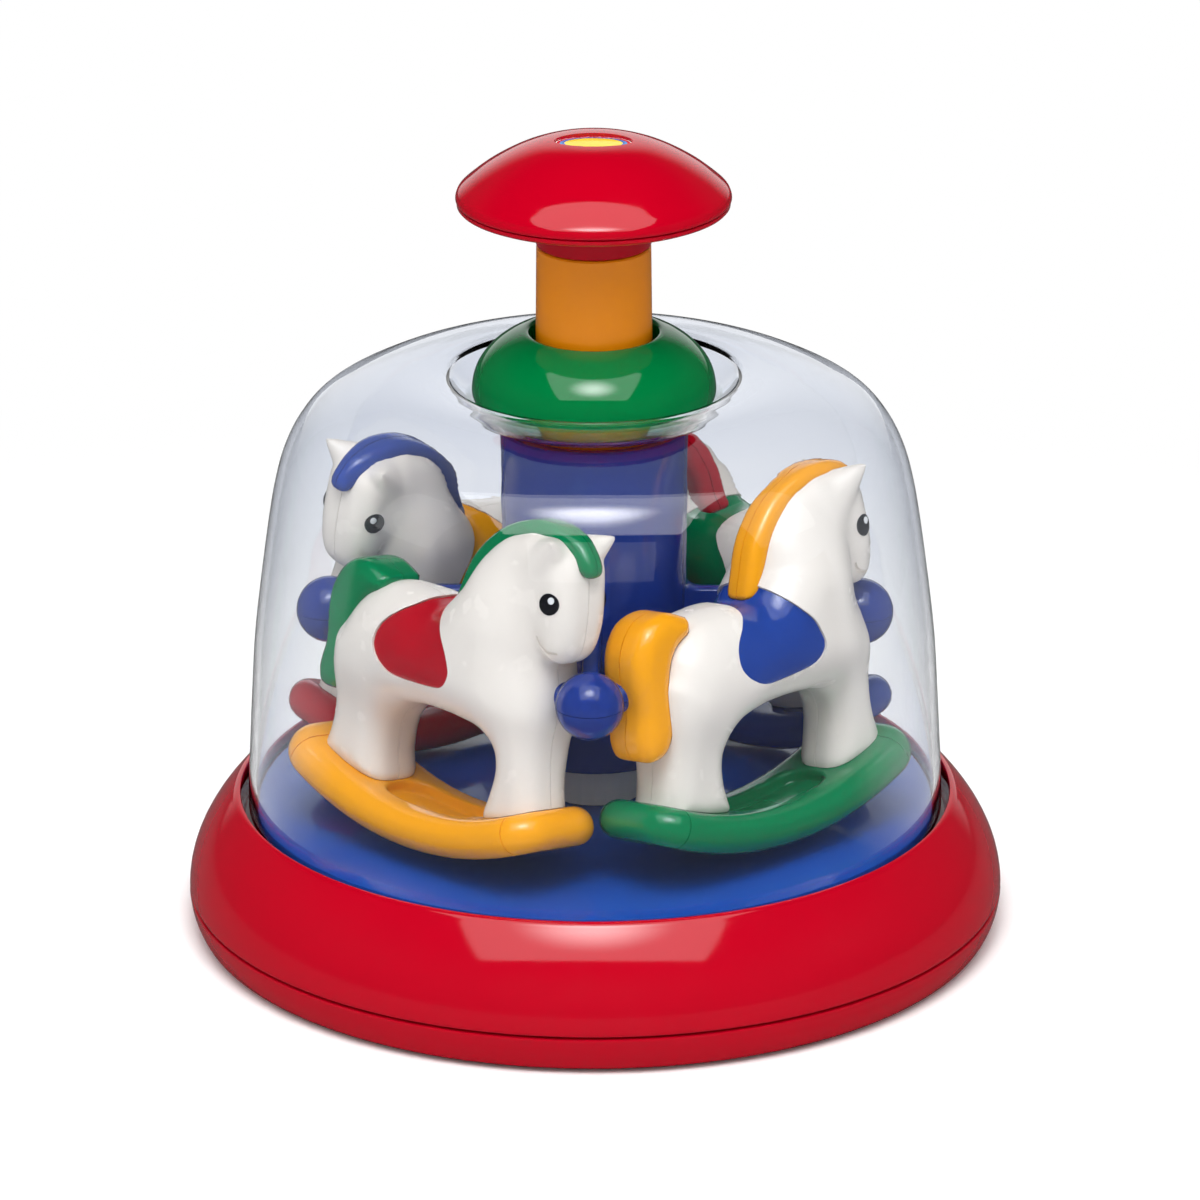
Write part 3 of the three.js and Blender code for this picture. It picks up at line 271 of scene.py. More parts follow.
def turned(name, profile, sides=160):
    """A closed profile in millimetres, turned round the toy's upright axis."""
    shape = bmesh.new()
    rings = []
    for radius, height in profile:
        if radius < 1e-6:
            rings.append([shape.verts.new((0, 0, height / 1000))])
        else:
            rings.append([shape.verts.new((
                radius / 1000 * math.cos(2 * math.pi * k / sides),
                radius / 1000 * math.sin(2 * math.pi * k / sides), height / 1000))
                for k in range(sides)])
    for i, ring in enumerate(rings):
        after = rings[(i + 1) % len(rings)]
        if len(ring) == 1 and len(after) == 1:
            continue
        for k in range(sides):
            a, b = ring[k % len(ring)], ring[(k + 1) % len(ring)]
            c, d = after[(k + 1) % len(after)], after[k % len(after)]
            corners = list(dict.fromkeys((a, b, c, d)))
            if len(corners) > 2:
                shape.faces.new(corners)
    bmesh.ops.recalc_face_normals(shape, faces=shape.faces)
    return shape_to_piece(name, shape)


def shape_to_piece(name, shape, sharp_angle=35):
    mesh = bpy.data.meshes.new(name)
    shape.to_mesh(mesh)
    shape.free()
    piece = bpy.data.objects.new(name, mesh)
    bpy.context.collection.objects.link(piece)
    mesh.shade_smooth()
    mesh.set_sharp_from_angle(angle=math.radians(sharp_angle))
    return piece


def moulded_plastic_group():
    """Colour, roughness and height of a glossy moulding: the colour drifts a little where
    the melt flowed, the gloss is uneven from handling, and the skin ripples faintly."""
    group = bpy.data.node_groups.new("moulded_plastic", "ShaderNodeTree")
    for socket, kind in (("Colour", "NodeSocketColor"), ("Drift", "NodeSocketFloat"),
                         ("Gloss", "NodeSocketFloat"), ("Wear", "NodeSocketFloat")):
        group.interface.new_socket(socket, in_out="INPUT", socket_type=kind)
    for socket, kind in (("Colour", "NodeSocketColor"), ("Roughness", "NodeSocketFloat"),
                         ("Height", "NodeSocketFloat")):
        group.interface.new_socket(socket, in_out="OUTPUT", socket_type=kind)
    nodes, links = group.nodes, group.links
    given, made = nodes.new("NodeGroupInput"), nodes.new("NodeGroupOutput")
    place = nodes.new("ShaderNodeTexCoord")

    def noise(scale, detail):
        texture = nodes.new("ShaderNodeTexNoise")
        texture.inputs["Scale"].default_value = scale
        texture.inputs["Detail"].default_value = detail
        links.new(place.outputs["Object"], texture.inputs["Vector"])
        return texture.outputs["Fac"]

    def maths(operation, first, second):
        node = nodes.new("ShaderNodeMath")
        node.operation = operation
        for slot, value in enumerate((first, second)):
            if isinstance(value, (int, float)):
                node.inputs[slot].default_value = value
            else:
                links.new(value, node.inputs[slot])
        return node.outputs[0]

    flow = maths("SUBTRACT", noise(26, 3), 0.5)
    value = maths("ADD", maths("MULTIPLY", flow, given.outputs["Drift"]), 1.0)
    tint = nodes.new("ShaderNodeHueSaturation")
    links.new(given.outputs["Colour"], tint.inputs["Color"])
    links.new(value, tint.inputs["Value"])
    links.new(tint.outputs["Color"], made.inputs["Colour"])
    handling = nodes.new("ShaderNodeMapRange")
    handling.inputs["From Min"].default_value = 0.42
    handling.inputs["From Max"].default_value = 0.78
    links.new(noise(140, 5), handling.inputs["Value"])
    rubbed = maths("MULTIPLY", handling.outputs["Result"], given.outputs["Wear"])
    links.new(maths("ADD", given.outputs["Gloss"], rubbed), made.inputs["Roughness"])
    ripple = maths("MULTIPLY", noise(55, 1), 0.7)
    links.new(maths("ADD", ripple, maths("MULTIPLY", noise(1600, 2), 0.06)),
              made.inputs["Height"])
    return group


moulded_plastic = moulded_plastic_group()


def plastic(name, colour, gloss=0.16, drift=0.08, wear=0.05, ripple=0.00006, coat=0.0):
    material = bpy.data.materials.new(name)
    material.use_nodes = True
    nodes, links = material.node_tree.nodes, material.node_tree.links
    shader = nodes["Principled BSDF"]
    skin = nodes.new("ShaderNodeGroup")
    skin.node_tree = moulded_plastic
    skin.inputs["Colour"].default_value = colour
    skin.inputs["Drift"].default_value = drift
    skin.inputs["Gloss"].default_value = gloss
    skin.inputs["Wear"].default_value = wear
    bump = nodes.new("ShaderNodeBump")
    bump.inputs["Strength"].default_value = 0.5
    bump.inputs["Distance"].default_value = ripple
    links.new(skin.outputs["Colour"], shader.inputs["Base Color"])
    links.new(skin.outputs["Roughness"], shader.inputs["Roughness"])
    links.new(skin.outputs["Height"], bump.inputs["Height"])
    links.new(bump.outputs["Normal"], shader.inputs["Normal"])
    shader.inputs["IOR"].default_value = 1.5
    shader.inputs["Coat Weight"].default_value = coat
    shader.inputs["Coat Roughness"].default_value = 0.04
    return material


def dress(piece, material, body, slot, *stands_for):
    piece.data.materials.clear()
    piece.data.materials.append(material)
    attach(piece, body)
    if stands_for:
        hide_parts(*stands_for)


def carve(piece, cutter, operation="DIFFERENCE"):
    """Combine a closed piece with another closed piece, which is used up."""
    change = piece.modifiers.new("carve", "BOOLEAN")
    change.operation = operation
    change.object = cutter
    change.solver = "MANIFOLD"
    bpy.context.view_layer.update()
    shaped = bpy.data.meshes.new_from_object(
        piece.evaluated_get(bpy.context.evaluated_depsgraph_get()))
    piece.modifiers.clear()
    old, piece.data = piece.data, shaped
    shaped.name = piece.name
    bpy.data.meshes.remove(old)
    spent = cutter.data
    bpy.data.objects.remove(cutter)
    bpy.data.meshes.remove(spent)
    return piece


def peg(radius, low, high, x, y, sides=32):
    """A round peg for holes and bosses, upright at x, y."""
    shape = bmesh.new()
    bmesh.ops.create_cone(shape, cap_ends=True, segments=sides, radius1=radius / 1000,
                          radius2=radius / 1000, depth=(high - low) / 1000,
                          matrix=Matrix.Translation((x / 1000, y / 1000, (low + high) / 2000)))
    return shape_to_piece("peg", shape)


base_red = plastic("base_red", plastic_red, gloss=0.07, drift=0.08, wear=0.05)
foot_radius = 94.6
foot_inner_radius = 78.0
recess_height = 1.2
tray_floor_top = 3.8
spigot_radius = 96.6
spigot_top = seam_height + 2.9
rib_radii = (75.9, 78.3)
rib_top = 30.6
screw_circle = 91.5
screw_places = [(screw_circle * math.cos(math.radians(a)), screw_circle * math.sin(math.radians(a)))
                for a in (45, 135, 225, 315)]

tray_side = spline([(foot_radius, 0), (97.0, 1.0), (98.3, 2.8), (99.4, 5.6), (99.9, 8.2),
                    (base_radius, seam_height - 0.9)], 6)
tray = turned("base_tray_shell", [
    (0, recess_height), (foot_inner_radius - 0.6, recess_height),
    (foot_inner_radius, recess_height - 0.2), (foot_inner_radius + 0.9, 0.1),
    (foot_inner_radius + 1.4, 0), *tray_side,
    (base_radius - 0.15, seam_height - 0.4), (base_radius - 0.55, seam_height - seam_width / 2),
    (spigot_radius, seam_height - seam_width / 2), (spigot_radius, spigot_top - 0.3),
    (spigot_radius - 0.3, spigot_top), (spigot_radius - 1.4, spigot_top),
    (spigot_radius - 1.4, tray_floor_top), (rib_radii[1], tray_floor_top),
    (rib_radii[1], rib_top), (rib_radii[0], rib_top), (rib_radii[0], tray_floor_top),
    (0, tray_floor_top)])
for x, y in screw_places:
    carve(tray, peg(1.9, -5, 9, x, y))
    carve(tray, peg(2.9, -5, 2.2, x, y))
dress(tray, base_red, "base", "base_red", "base_tray")

ring_side = [(base_radius - 0.0196 * rise * rise, seam_height + rise)
             for rise in np.linspace(0.9, 23.6, 48)]
ring_inside = spline([(97.3, seam_height + 0.5), (96.4, 16), (94.9, 21), (93, 24.4),
                      (90.4, 27.7), (88.4, 30.2), (87.2, 31.8)], 4)
ring = turned("base_ring_shell", [
    (base_radius - 0.55, seam_height + seam_width / 2), (base_radius - 0.15, seam_height + 0.45),
    *ring_side, (88.7, 33.85), (88.2, 34.2), (87.7, 34.38), (ring_lip_radius + 0.15, 34.4),
    (ring_lip_radius - 0.05, 34.1), (ring_lip_radius - 0.1, 33.6), *reversed(ring_inside),
    (97.3, seam_height + seam_width / 2)])
for x, y in screw_places:
    carve(ring, peg(3.2, 4.1, 25, x, y), "UNION")
    carve(ring, peg(1.9, -5, 17, x, y))
dress(ring, base_red, "base", "base_red", "base_ring")

# Four round-headed steel screws with a cross recess, seated in the tray's underside.
screw_steel = plastic("screw_steel", (0.55, 0.56, 0.58, 1), gloss=0.3, drift=0.1, wear=0.2)
screw_steel.node_tree.nodes["Principled BSDF"].inputs["Metallic"].default_value = 1.0
for number, (x, y) in enumerate(screw_places, 1):
    screw = turned(f"tray_screw_{number}", [
        (0, 0.42), (1.5, 0.5), (2.3, 0.8), (2.6, 1.2), (2.6, 1.9), (1.6, 1.9), (1.6, 12.6),
        (0.2, 13.6), (0, 13.6)], 40)
    screw.data.transform(Matrix.Translation((x / 1000, y / 1000, 0)))
    for turn in (0, math.pi / 2):
        slot_shape = bmesh.new()
        bmesh.ops.create_cube(slot_shape, matrix=Matrix.Translation((x / 1000, y / 1000, 0.0006))
                              @ Matrix.Rotation(turn, 4, "Z")
                              @ Matrix.Diagonal((0.0031, 0.0007, 0.0014, 1)))
        carve(screw, shape_to_piece("cross_slot", slot_shape))
    dress(screw, screw_steel, "base", "screw_steel", f"base_screw_{number}")

# Floor of the dome: a disc of polished blue styrene that lies on the tray's rib, round the
# post that carries everything that turns.
floor_top = 33.3
floor_blue = plastic("floor_blue", (0.012, 0.070, 0.36, 1), gloss=0.07, drift=0.1, wear=0.04,
                     ripple=0.00006)
floor_disc = turned("floor_plate", [
    (7.3, floor_top - 2.4), (83.0, floor_top - 2.4), (83.0, floor_top - 0.5),
    (82.85, floor_top - 0.15), (82.5, floor_top), (7.8, floor_top), (7.3, floor_top - 0.4)], 128)
dress(floor_disc, floor_blue, "base", "floor_blue", "floor_disc")

inner_white = plastic("inner_white", (0.78, 0.77, 0.74, 1), gloss=0.38, drift=0.1, wear=0.1)
for node, body in (("centre_post", "base"), ("post_sleeve", "base"), ("drive_nut", "plunger"),
                   ("drive_spindle", "spindle"), ("clutch_driver", "spindle")):
    bpy.data.objects[node].material_slots[0].material = inner_white
bpy.data.objects["thrust_washer"].material_slots[0].material = screw_steel

# Dome: one thin moulding in clear styrene, blown-looking but injected, with a cup in its
# crown for the collar and a flange at its foot that the ring's lip holds down.
dome_wall = 1.8


def moved_in(points, wall):
    """The same line moved a wall's thickness to its left."""
    line = []
    for i, (radius, height) in enumerate(points):
        (r0, z0), (r1, z1) = points[max(i - 1, 0)], points[min(i + 1, len(points) - 1)]
        run = math.hypot(r1 - r0, z1 - z0)
        line.append((radius - wall * (z1 - z0) / run, height + wall * (r1 - r0) / run))
    return line


dome_skin = (
    spline([(85.1, 31.0), (84.95, 39), (84.5, 47), (83.8, 60), (82.8, 75), (81.0, 90),
            (78.85, 105), (77.2, 114), (75.2, 121), (72.2, 127), (67.9, 132), (60.5, 136.2),
            (54, 138.9), (48.5, 140.4), (43.5, 141.0), (39, 141.0)], 5)
    + [(36.6, 140.9), (35.4, 140.6), (34.7, 140.0), (34.1, 139.2), (32.6, 137.6), (30.4, 135.6),
       (29.0, 134.3), (28.0, 133.5), (27.0, 133.2), (22.0, 133.2), (15.9, 133.2)])
dome = turned("dome_shell", dome_skin + moved_in(dome_skin, dome_wall)[::-1]
              + [(83.3, 29.6), (83.5, 29.1), (87.5, 29.1), (87.7, 29.3), (87.7, 30.4), (87.5, 30.6)],
              192)

dome_clear = bpy.data.materials.new("dome_clear")
dome_clear.use_nodes = True
nodes, links = dome_clear.node_tree.nodes, dome_clear.node_tree.links
shader = nodes["Principled BSDF"]
edge_on = nodes.new("ShaderNodeLayerWeight")
edge_on.inputs["Blend"].default_value = 0.35
tint = nodes.new("ShaderNodeMix")
tint.data_type = "RGBA"
tint.inputs["A"].default_value = (0.975, 0.98, 0.985, 1)
tint.inputs["B"].default_value = (0.90, 0.93, 0.96, 1)
links.new(edge_on.outputs["Facing"], tint.inputs["Factor"])
links.new(tint.outputs["Result"], shader.inputs["Base Color"])
shader.inputs["Transmission Weight"].default_value = 1.0
shader.inputs["IOR"].default_value = 1.5
skin = nodes.new("ShaderNodeGroup")
skin.node_tree = moulded_plastic
skin.inputs["Colour"].default_value = (1, 1, 1, 1)
skin.inputs["Gloss"].default_value = 0.01
skin.inputs["Wear"].default_value = 0.02
bump = nodes.new("ShaderNodeBump")
bump.inputs["Strength"].default_value = 0.3
bump.inputs["Distance"].default_value = 0.00004
links.new(skin.outputs["Roughness"], shader.inputs["Roughness"])
links.new(skin.outputs["Height"], bump.inputs["Height"])
links.new(bump.outputs["Normal"], shader.inputs["Normal"])
open_glass = nodes.new("ShaderNodeBsdfTransparent")
open_glass.inputs["Color"].default_value = (0.93, 0.95, 0.98, 1)
ray = nodes.new("ShaderNodeLightPath")
glass_mix = nodes.new("ShaderNodeMixShader")
inside_wall = maths(nodes, links, "MODULO", ray.outputs["Transmission Depth"], 2.0)
mirrored = maths(nodes, links, "SUBTRACT", ray.outputs["Is Glossy Ray"],
                 ray.outputs["Is Transmission Ray"])
mirrored = maths(nodes, links, "MULTIPLY", mirrored,
                 maths(nodes, links, "SUBTRACT", 1.0, inside_wall))
through = maths(nodes, links, "MAXIMUM", ray.outputs["Is Diffuse Ray"], mirrored)
through = maths(nodes, links, "MAXIMUM", ray.outputs["Is Shadow Ray"], through)
links.new(through, glass_mix.inputs["Fac"])
links.new(shader.outputs["BSDF"], glass_mix.inputs[1])
links.new(open_glass.outputs["BSDF"], glass_mix.inputs[2])
links.new(glass_mix.outputs["Shader"], nodes["Material Output"].inputs["Surface"])
dress(dome, dome_clear, "base", "dome_clear", "dome")

# Collar: a half-round ring in green styrene, pressed into the dome's cup. The plunger
# slides in its bore.
collar_green = plastic("collar_green", (0.0, 0.15, 0.036, 1), gloss=0.05, drift=0.1, wear=0.05)
collar = turned("dome_collar_ring", [(15.4, 133.5), (26.6, 133.5), *spline([
    (27.2, 133.6), (28.6, 134.5), (29.4, 136.2), (29.4, 138.4), (28.9, 141.0), (27.8, 143.6),
    (25.9, 146.2), (23.4, 148.5), (20.4, 150.4), (17.6, 151.6), (16.5, 151.85)], 6),
    (16.0, 151.75), (15.7, 151.45), (15.6, 151.0), (15.6, 149.0), (15.4, 148.6)], 144)
dress(collar, collar_green, "base", "collar_green", "dome_collar")

# Plunger: an amber tube whose flange stops it under the cup, with a red mushroom knob
# snapped into its top from a flat underside and a domed cap.
stem_amber = plastic("stem_amber", (0.82, 0.25, 0.002, 1), gloss=0.2, drift=0.12, wear=0.06)
stem = turned("plunger_stem", [
    (10.6, 116.0), (13.9, 116.0), (14.1, 116.2), (14.1, 129.1), (17.3, 129.1), (17.5, 129.3),
    (17.5, 130.9), (17.3, 131.1), (14.1, 131.1), (14.05, 150), (13.8, 172.9), (13.5, 173.3),
    (12.3, 173.3), (12.0, 173.0), (12.3, 131.0), (12.3, 117.8), (10.5, 117.8), (10.5, 116.1)], 96)
dress(stem, stem_amber, "plunger", "stem_amber", "plunger_tube")

knob_red = plastic("knob_red", (0.41, 0.0, 0.010, 1), gloss=0.055, drift=0.08, wear=0.05)
knob_under = turned("knob_underside", [
    (10.0, 167.6), (11.5, 167.6), (11.7, 167.8), (11.7, 173.5), (13.6, 173.6), (13.85, 173.9),
    (13.85, 177.6), *spline([(14.1, 178.3), (15.2, 179.1), (20, 180.2), (26, 181.4),
                             (31.2, 182.7)], 4),
    (32.4, 183.2), (32.75, 183.6), (32.8, 184.3), (32.5, 184.5), (31.1, 184.5), (23.5, 182.2),
    (10.0, 180.4)], 144)
dress(knob_under, knob_red, "plunger", "knob_red", "knob_disc")

badge_half_width, badge_half_depth = 9.35, 5.5
badge_floor = 198.2
cap_side = spline([(32.95, 184.8), (33.08, 185.3), (32.9, 186.2), (32.2, 187.4), (29.7, 189.6),
                   (26.6, 192.0), (22.6, 194.5), (18.5, 196.6), (13.9, 198.3), (9.6, 199.2),
                   (5.0, 199.55), (0, 199.6)], 6)
cap_inside = spline([(31.1, 184.8), (30.4, 186.0), (25.4, 190.1), (21.6, 192.5), (17.6, 194.5),
                     (13.0, 196.2), (9.4, 196.9)], 4)
knob = turned("knob_dome", cap_side + [(0, 183.1), (8.4, 183.1), (8.4, 196.6)]
              + cap_inside[::-1], 160)


def oval_slug(half_width, half_depth, low, high, rounding, sides=128):
    """An upright oval block whose upper edge is rounded outward or inward."""
    shape = bmesh.new()
    rows = [(0.0, low), (0.0, high - abs(rounding))]
    for step in range(1, 6):
        turn = math.pi / 2 * step / 5
        if rounding > 0:
            rows.append((rounding * (1 - math.cos(turn)),
                         high - rounding + rounding * math.sin(turn)))
        else:
            rows.append((rounding * (1 - math.cos(turn)),
                         high + rounding - rounding * math.sin(turn)))
    rings = [[shape.verts.new(((half_width + grow) / 1000 * math.cos(2 * math.pi * k / sides),
                               (half_depth + grow) / 1000 * math.sin(2 * math.pi * k / sides),
                               height / 1000)) for k in range(sides)] for grow, height in rows]
    for lower, upper in zip(rings, rings[1:]):
        for k in range(sides):
            after = (k + 1) % sides
            shape.faces.new((lower[k], lower[after], upper[after], upper[k]))
    shape.faces.new(rings[0][::-1])
    shape.faces.new(rings[-1])
    return shape_to_piece("oval_slug", shape)


carve(knob, oval_slug(badge_half_width, badge_half_depth, badge_floor, 199.75, 0.45))
knob.data.shade_smooth()
knob.data.set_sharp_from_angle(angle=math.radians(35))
dress(knob, knob_red, "plunger", "knob_red", "knob_cap")

# Badge: an oval plastic plate sunk into the knob, printed with plain rings of colour
# under clear lacquer. The real one's lettering is left off.
badge_print = bpy.data.materials.new("badge_print")
badge_print.use_nodes = True
nodes, links = badge_print.node_tree.nodes, badge_print.node_tree.links
shader = nodes["Principled BSDF"]
place = nodes.new("ShaderNodeTexCoord")
flat = nodes.new("ShaderNodeVectorMath")
flat.operation = "MULTIPLY"
flat.inputs[1].default_value = (1000 / badge_half_width, 1000 / badge_half_depth, 0)
out_from_middle = nodes.new("ShaderNodeVectorMath")
out_from_middle.operation = "LENGTH"
rings = nodes.new("ShaderNodeValToRGB")
rings.color_ramp.interpolation = "CONSTANT"
ring_colours = [(0.0, (0.83, 0.60, 0.03, 1)), (0.74, (0.01, 0.12, 0.42, 1)),
                (0.80, (0.03, 0.25, 0.62, 1)), (0.86, (0.58, 0.0, 0.012, 1)),
                (0.94, (0.84, 0.83, 0.80, 1))]
while len(rings.color_ramp.elements) < len(ring_colours):
    rings.color_ramp.elements.new(0.5)
for stop, (share, colour) in zip(rings.color_ramp.elements, ring_colours):
    stop.position = share
for stop, (share, colour) in zip(rings.color_ramp.elements, ring_colours):
    stop.color = colour
skin = nodes.new("ShaderNodeGroup")
skin.node_tree = moulded_plastic
skin.inputs["Drift"].default_value = 0.1
skin.inputs["Gloss"].default_value = 0.18
skin.inputs["Wear"].default_value = 0.08
links.new(place.outputs["Object"], flat.inputs[0])
links.new(flat.outputs["Vector"], out_from_middle.inputs[0])
links.new(out_from_middle.outputs["Value"], rings.inputs["Fac"])
links.new(rings.outputs["Color"], skin.inputs["Colour"])
links.new(skin.outputs["Colour"], shader.inputs["Base Color"])
links.new(skin.outputs["Roughness"], shader.inputs["Roughness"])
badge = oval_slug(badge_half_width - 0.12, badge_half_depth - 0.12, badge_floor - 0.15,
                  badge_floor + 0.45, -0.15)
badge.name = badge.data.name = "knob_badge_plate"
dress(badge, badge_print, "plunger", "badge_white", "knob_badge")

# Return spring: a coil of hard-drawn steel wire between the spindle's seat and the knob,
# at one even pitch. The real spring's ends are closed and ground flat, and it shortens by the
# knob's whole travel; this coil has plain cut ends, keeps its length and moves with the plunger.
spring_steel = plastic("spring_steel", (0.50, 0.50, 0.52, 1), gloss=0.28, drift=0.15, wear=0.15)
spring_steel.node_tree.nodes["Principled BSDF"].inputs["Metallic"].default_value = 1.0


def coil(name, radius, wire, low, high, turns, steps=28, around=10):
    low, high = low + wire, high - wire
    shape = bmesh.new()
    sections = []
    for i in range(turns * steps + 1):
        t = i / (turns * steps)
        lift = low + (high - low) * t
        angle = t * turns * 2 * math.pi
        outward = Vector((math.cos(angle), math.sin(angle), 0))
        sections.append([shape.verts.new(
            (outward * (radius + wire * math.cos(k * 2 * math.pi / around))
             + Vector((0, 0, lift + wire * math.sin(k * 2 * math.pi / around)))) / 1000)
            for k in range(around)])
    for before, after in zip(sections, sections[1:]):
        for k in range(around):
            n = (k + 1) % around
            shape.faces.new((before[k], before[n], after[n], after[k]))
    shape.faces.new(sections[0][::-1])
    shape.faces.new(sections[-1])
    bmesh.ops.recalc_face_normals(shape, faces=shape.faces)
    return shape_to_piece(name, shape, 60)


spring = coil("plunger_spring", 6.6, 0.7, 133.3, 182.7, 8)
dress(spring, spring_steel, "plunger", "spring_steel", "return_spring")
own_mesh(spring)

# Spider: the column, four arms, their balls and the studs are one form moulded as an upper
# and a lower half in glossy blue styrene, parted across the middle of the arms.
parting_height = 80.1
column_radius = 22.4
arm_half_width, arm_half_depth = 2.0, 6.0
ball_circle, ball_radius = 64.7, 8.1
stud_circle, stud_radius, stud_reach = 58.8, 3.7, 10.2


def rounded_box_ring(half_width, half_depth, corner, steps=3):
    ring = []
    for side_y, side_z, start in ((1, 1, 0), (-1, 1, 90), (-1, -1, 180), (1, -1, 270)):
        for s in range(steps + 1):
            angle = math.radians(start + 90 * s / steps)
            ring.append((side_y * (half_width - corner) + corner * math.cos(angle),
                         side_z * (half_depth - corner) + corner * math.sin(angle)))
    return ring


def lofted(name, rings, sharp_angle=35):
    """A closed tube through rings of points given in millimetres."""
    shape = bmesh.new()
    loops = [[shape.verts.new(Vector(point) / 1000) for point in ring] for ring in rings]
    for before, after in zip(loops, loops[1:]):
        for k in range(len(before)):
            n = (k + 1) % len(before)
            shape.faces.new((before[k], before[n], after[n], after[k]))
    shape.faces.new(loops[0][::-1])
    shape.faces.new(loops[-1])
    bmesh.ops.recalc_face_normals(shape, faces=shape.faces)
    return shape_to_piece(name, shape, sharp_angle)


def arm_blank(turn):
    rings = []
    for out in (20.8, 22.0, 22.6, 23.2, 23.8, 24.6, 25.6, 27, 40, stud_circle + 1):
        near = max(0.0, 1 - (out - 21.9) / 3.6)
        flare = 3.0 * (1 - math.sqrt(1 - min(near, 1) ** 2))
        rings.append([(out, y, parting_height + z) for y, z in rounded_box_ring(
            arm_half_width + flare, arm_half_depth + flare, 0.6 + flare * 0.5)])
    arm = lofted("arm", rings)
    arm.data.transform(Matrix.Rotation(turn, 4, "Z"))
    return arm


def ball_blank(turn):
    shape = bmesh.new()
    bmesh.ops.create_uvsphere(shape, u_segments=48, v_segments=32, radius=ball_radius / 1000)
    ball = shape_to_piece("ball", shape)
    ball.data.transform(Matrix.Rotation(turn, 4, "Z")
                        @ Matrix.Translation((ball_circle / 1000, 0, parting_height / 1000)))
    return ball


def stud_blank(turn):
    rings = []
    for step in range(-9, 10):
        along = abs(step)
        if along <= 3:
            reach, radius = (stud_reach - stud_radius * 0.8) * along / 3, stud_radius
        else:
            bend = math.radians(15 * (along - 3))
            reach = stud_reach - stud_radius * 0.8 * (1 - math.sin(bend))
            radius = stud_radius * math.cos(bend) if along < 9 else 0.25
        rings.append([(stud_circle + radius * math.cos(2 * math.pi * k / 28),
                       math.copysign(reach, step),
                       parting_height + radius * math.sin(2 * math.pi * k / 28))
                      for k in range(28)])
    stud = lofted("stud", rings)
    stud.data.transform(Matrix.Rotation(turn, 4, "Z"))
    return stud


def half_space(low, high):
    shape = bmesh.new()
    bmesh.ops.create_cube(shape, matrix=Matrix.Translation((0, 0, (low + high) / 2000))
                          @ Matrix.Diagonal((0.3, 0.3, (high - low) / 1000, 1)))
    return shape_to_piece("half_space", shape)


def spider_blank(name):
    blank = turned(name, [
        (7.4, 45.5), (21.2, 45.5), (22.0, 45.8), (22.4, 46.5), (column_radius, 127.2),
        (22.2, 127.8), (21.6, 128.2), (18.8, 128.2), (18.4, 127.8), (18.4, 124.2), (20.2, 124.2),
        (20.2, 47.7), (11.0, 47.7), (11.0, 64.0), (7.4, 64.0)], 144)
    for quarter in range(4):
        turn = quarter * math.pi / 2
        for part in (arm_blank(turn), ball_blank(turn), stud_blank(turn)):
            carve(blank, part, "UNION")
    bore = turned("column_bore", [(11.0, 47.7), (20.2, 47.7), (20.2, 124.2), (11.0, 124.2)], 96)
    return carve(blank, bore)


spider_blue = plastic("spider_blue", (0.011, 0.034, 0.22, 1), gloss=0.08, drift=0.1, wear=0.05)
for name, node, low, high in (
        ("spider_upper_half", "spider_upper", parting_height + 0.09, 140),
        ("spider_lower_half", "spider_lower", 40, parting_height - 0.09)):
    half = carve(spider_blank(name), half_space(low, high), "INTERSECT")
    if node == "spider_lower":
        for tooth in range(8):
            shape = bmesh.new()
            span = 2 * math.pi / 8
            corners = [(r, span * share, z) for r in (7.9, 10.6)
                       for share, z in ((0, 63.7), (0.5, 63.7), (0, 65.9))]
            corners = [shape.verts.new((r * math.cos(a) / 1000, r * math.sin(a) / 1000, z / 1000))
                       for r, a, z in corners]
            for face in ((0, 1, 2), (5, 4, 3), (0, 3, 4, 1), (1, 4, 5, 2), (2, 5, 3, 0)):
                shape.faces.new([corners[k] for k in face])
            bmesh.ops.recalc_face_normals(shape, faces=shape.faces)
            wedge = shape_to_piece("clutch_tooth", shape)
            wedge.data.transform(Matrix.Rotation(tooth * span, 4, "Z"))
            carve(half, wedge, "UNION")
    half.data.shade_smooth()
    half.data.set_sharp_from_angle(angle=math.radians(32))
    dress(half, spider_blue, "carousel", "spider_blue", node)

# Horses: each is moulded as two halves of warm white styrene that meet on its middle plane.
# They are modelled once, in a horse's own frame: t ahead, h up, w outward, in millimetres.
horse_circle, hoof_height = 53.4, 50.0
horse_lean = math.radians(9.5)
body_grid, trim_grid = 0.9, 0.7

torso_line = spline([(36.2, 40), (36.4, 32), (34.2, 23), (24, 19.3), (8, 19.8), (-8, 19),
                     (-19, 17), (-28, 21.5), (-29.4, 31), (-26.6, 40), (-18, 45.6), (-7, 46),
                     (1.5, 45), (6.8, 50), (12, 60), (20.5, 67.5), (30.5, 69), (37, 62),
                     (36.4, 50), (36.2, 40)], 4)[:-1]
head_line = spline([(23.5, 64), (27.5, 69), (35.5, 69.2), (41.6, 65.8), (43.6, 58), (44.2, 49.5),
                    (43.2, 43), (39.4, 40), (34.8, 42), (30.4, 48.5), (25, 56.5), (23.5, 64)],
                   4)[:-1]
front_leg_line = spline([(21, 30), (23.6, 21), (24.9, 12), (23.6, 5), (22.4, -2.5), (31, -4.4),
                         (40.9, -2), (39.6, 5), (38.2, 12), (37.2, 21), (36.4, 30), (29, 36),
                         (21, 30)], 4)[:-1]
hind_leg_line = spline([(-28.8, 31), (-29.8, 20), (-30.6, 12), (-32.2, 5), (-33, 0), (-23, -3.6),
                        (-12.8, -3.4), (-13.4, 4), (-13, 12), (-9, 20), (-2, 27), (-14, 36),
                        (-28.8, 31)], 4)[:-1]
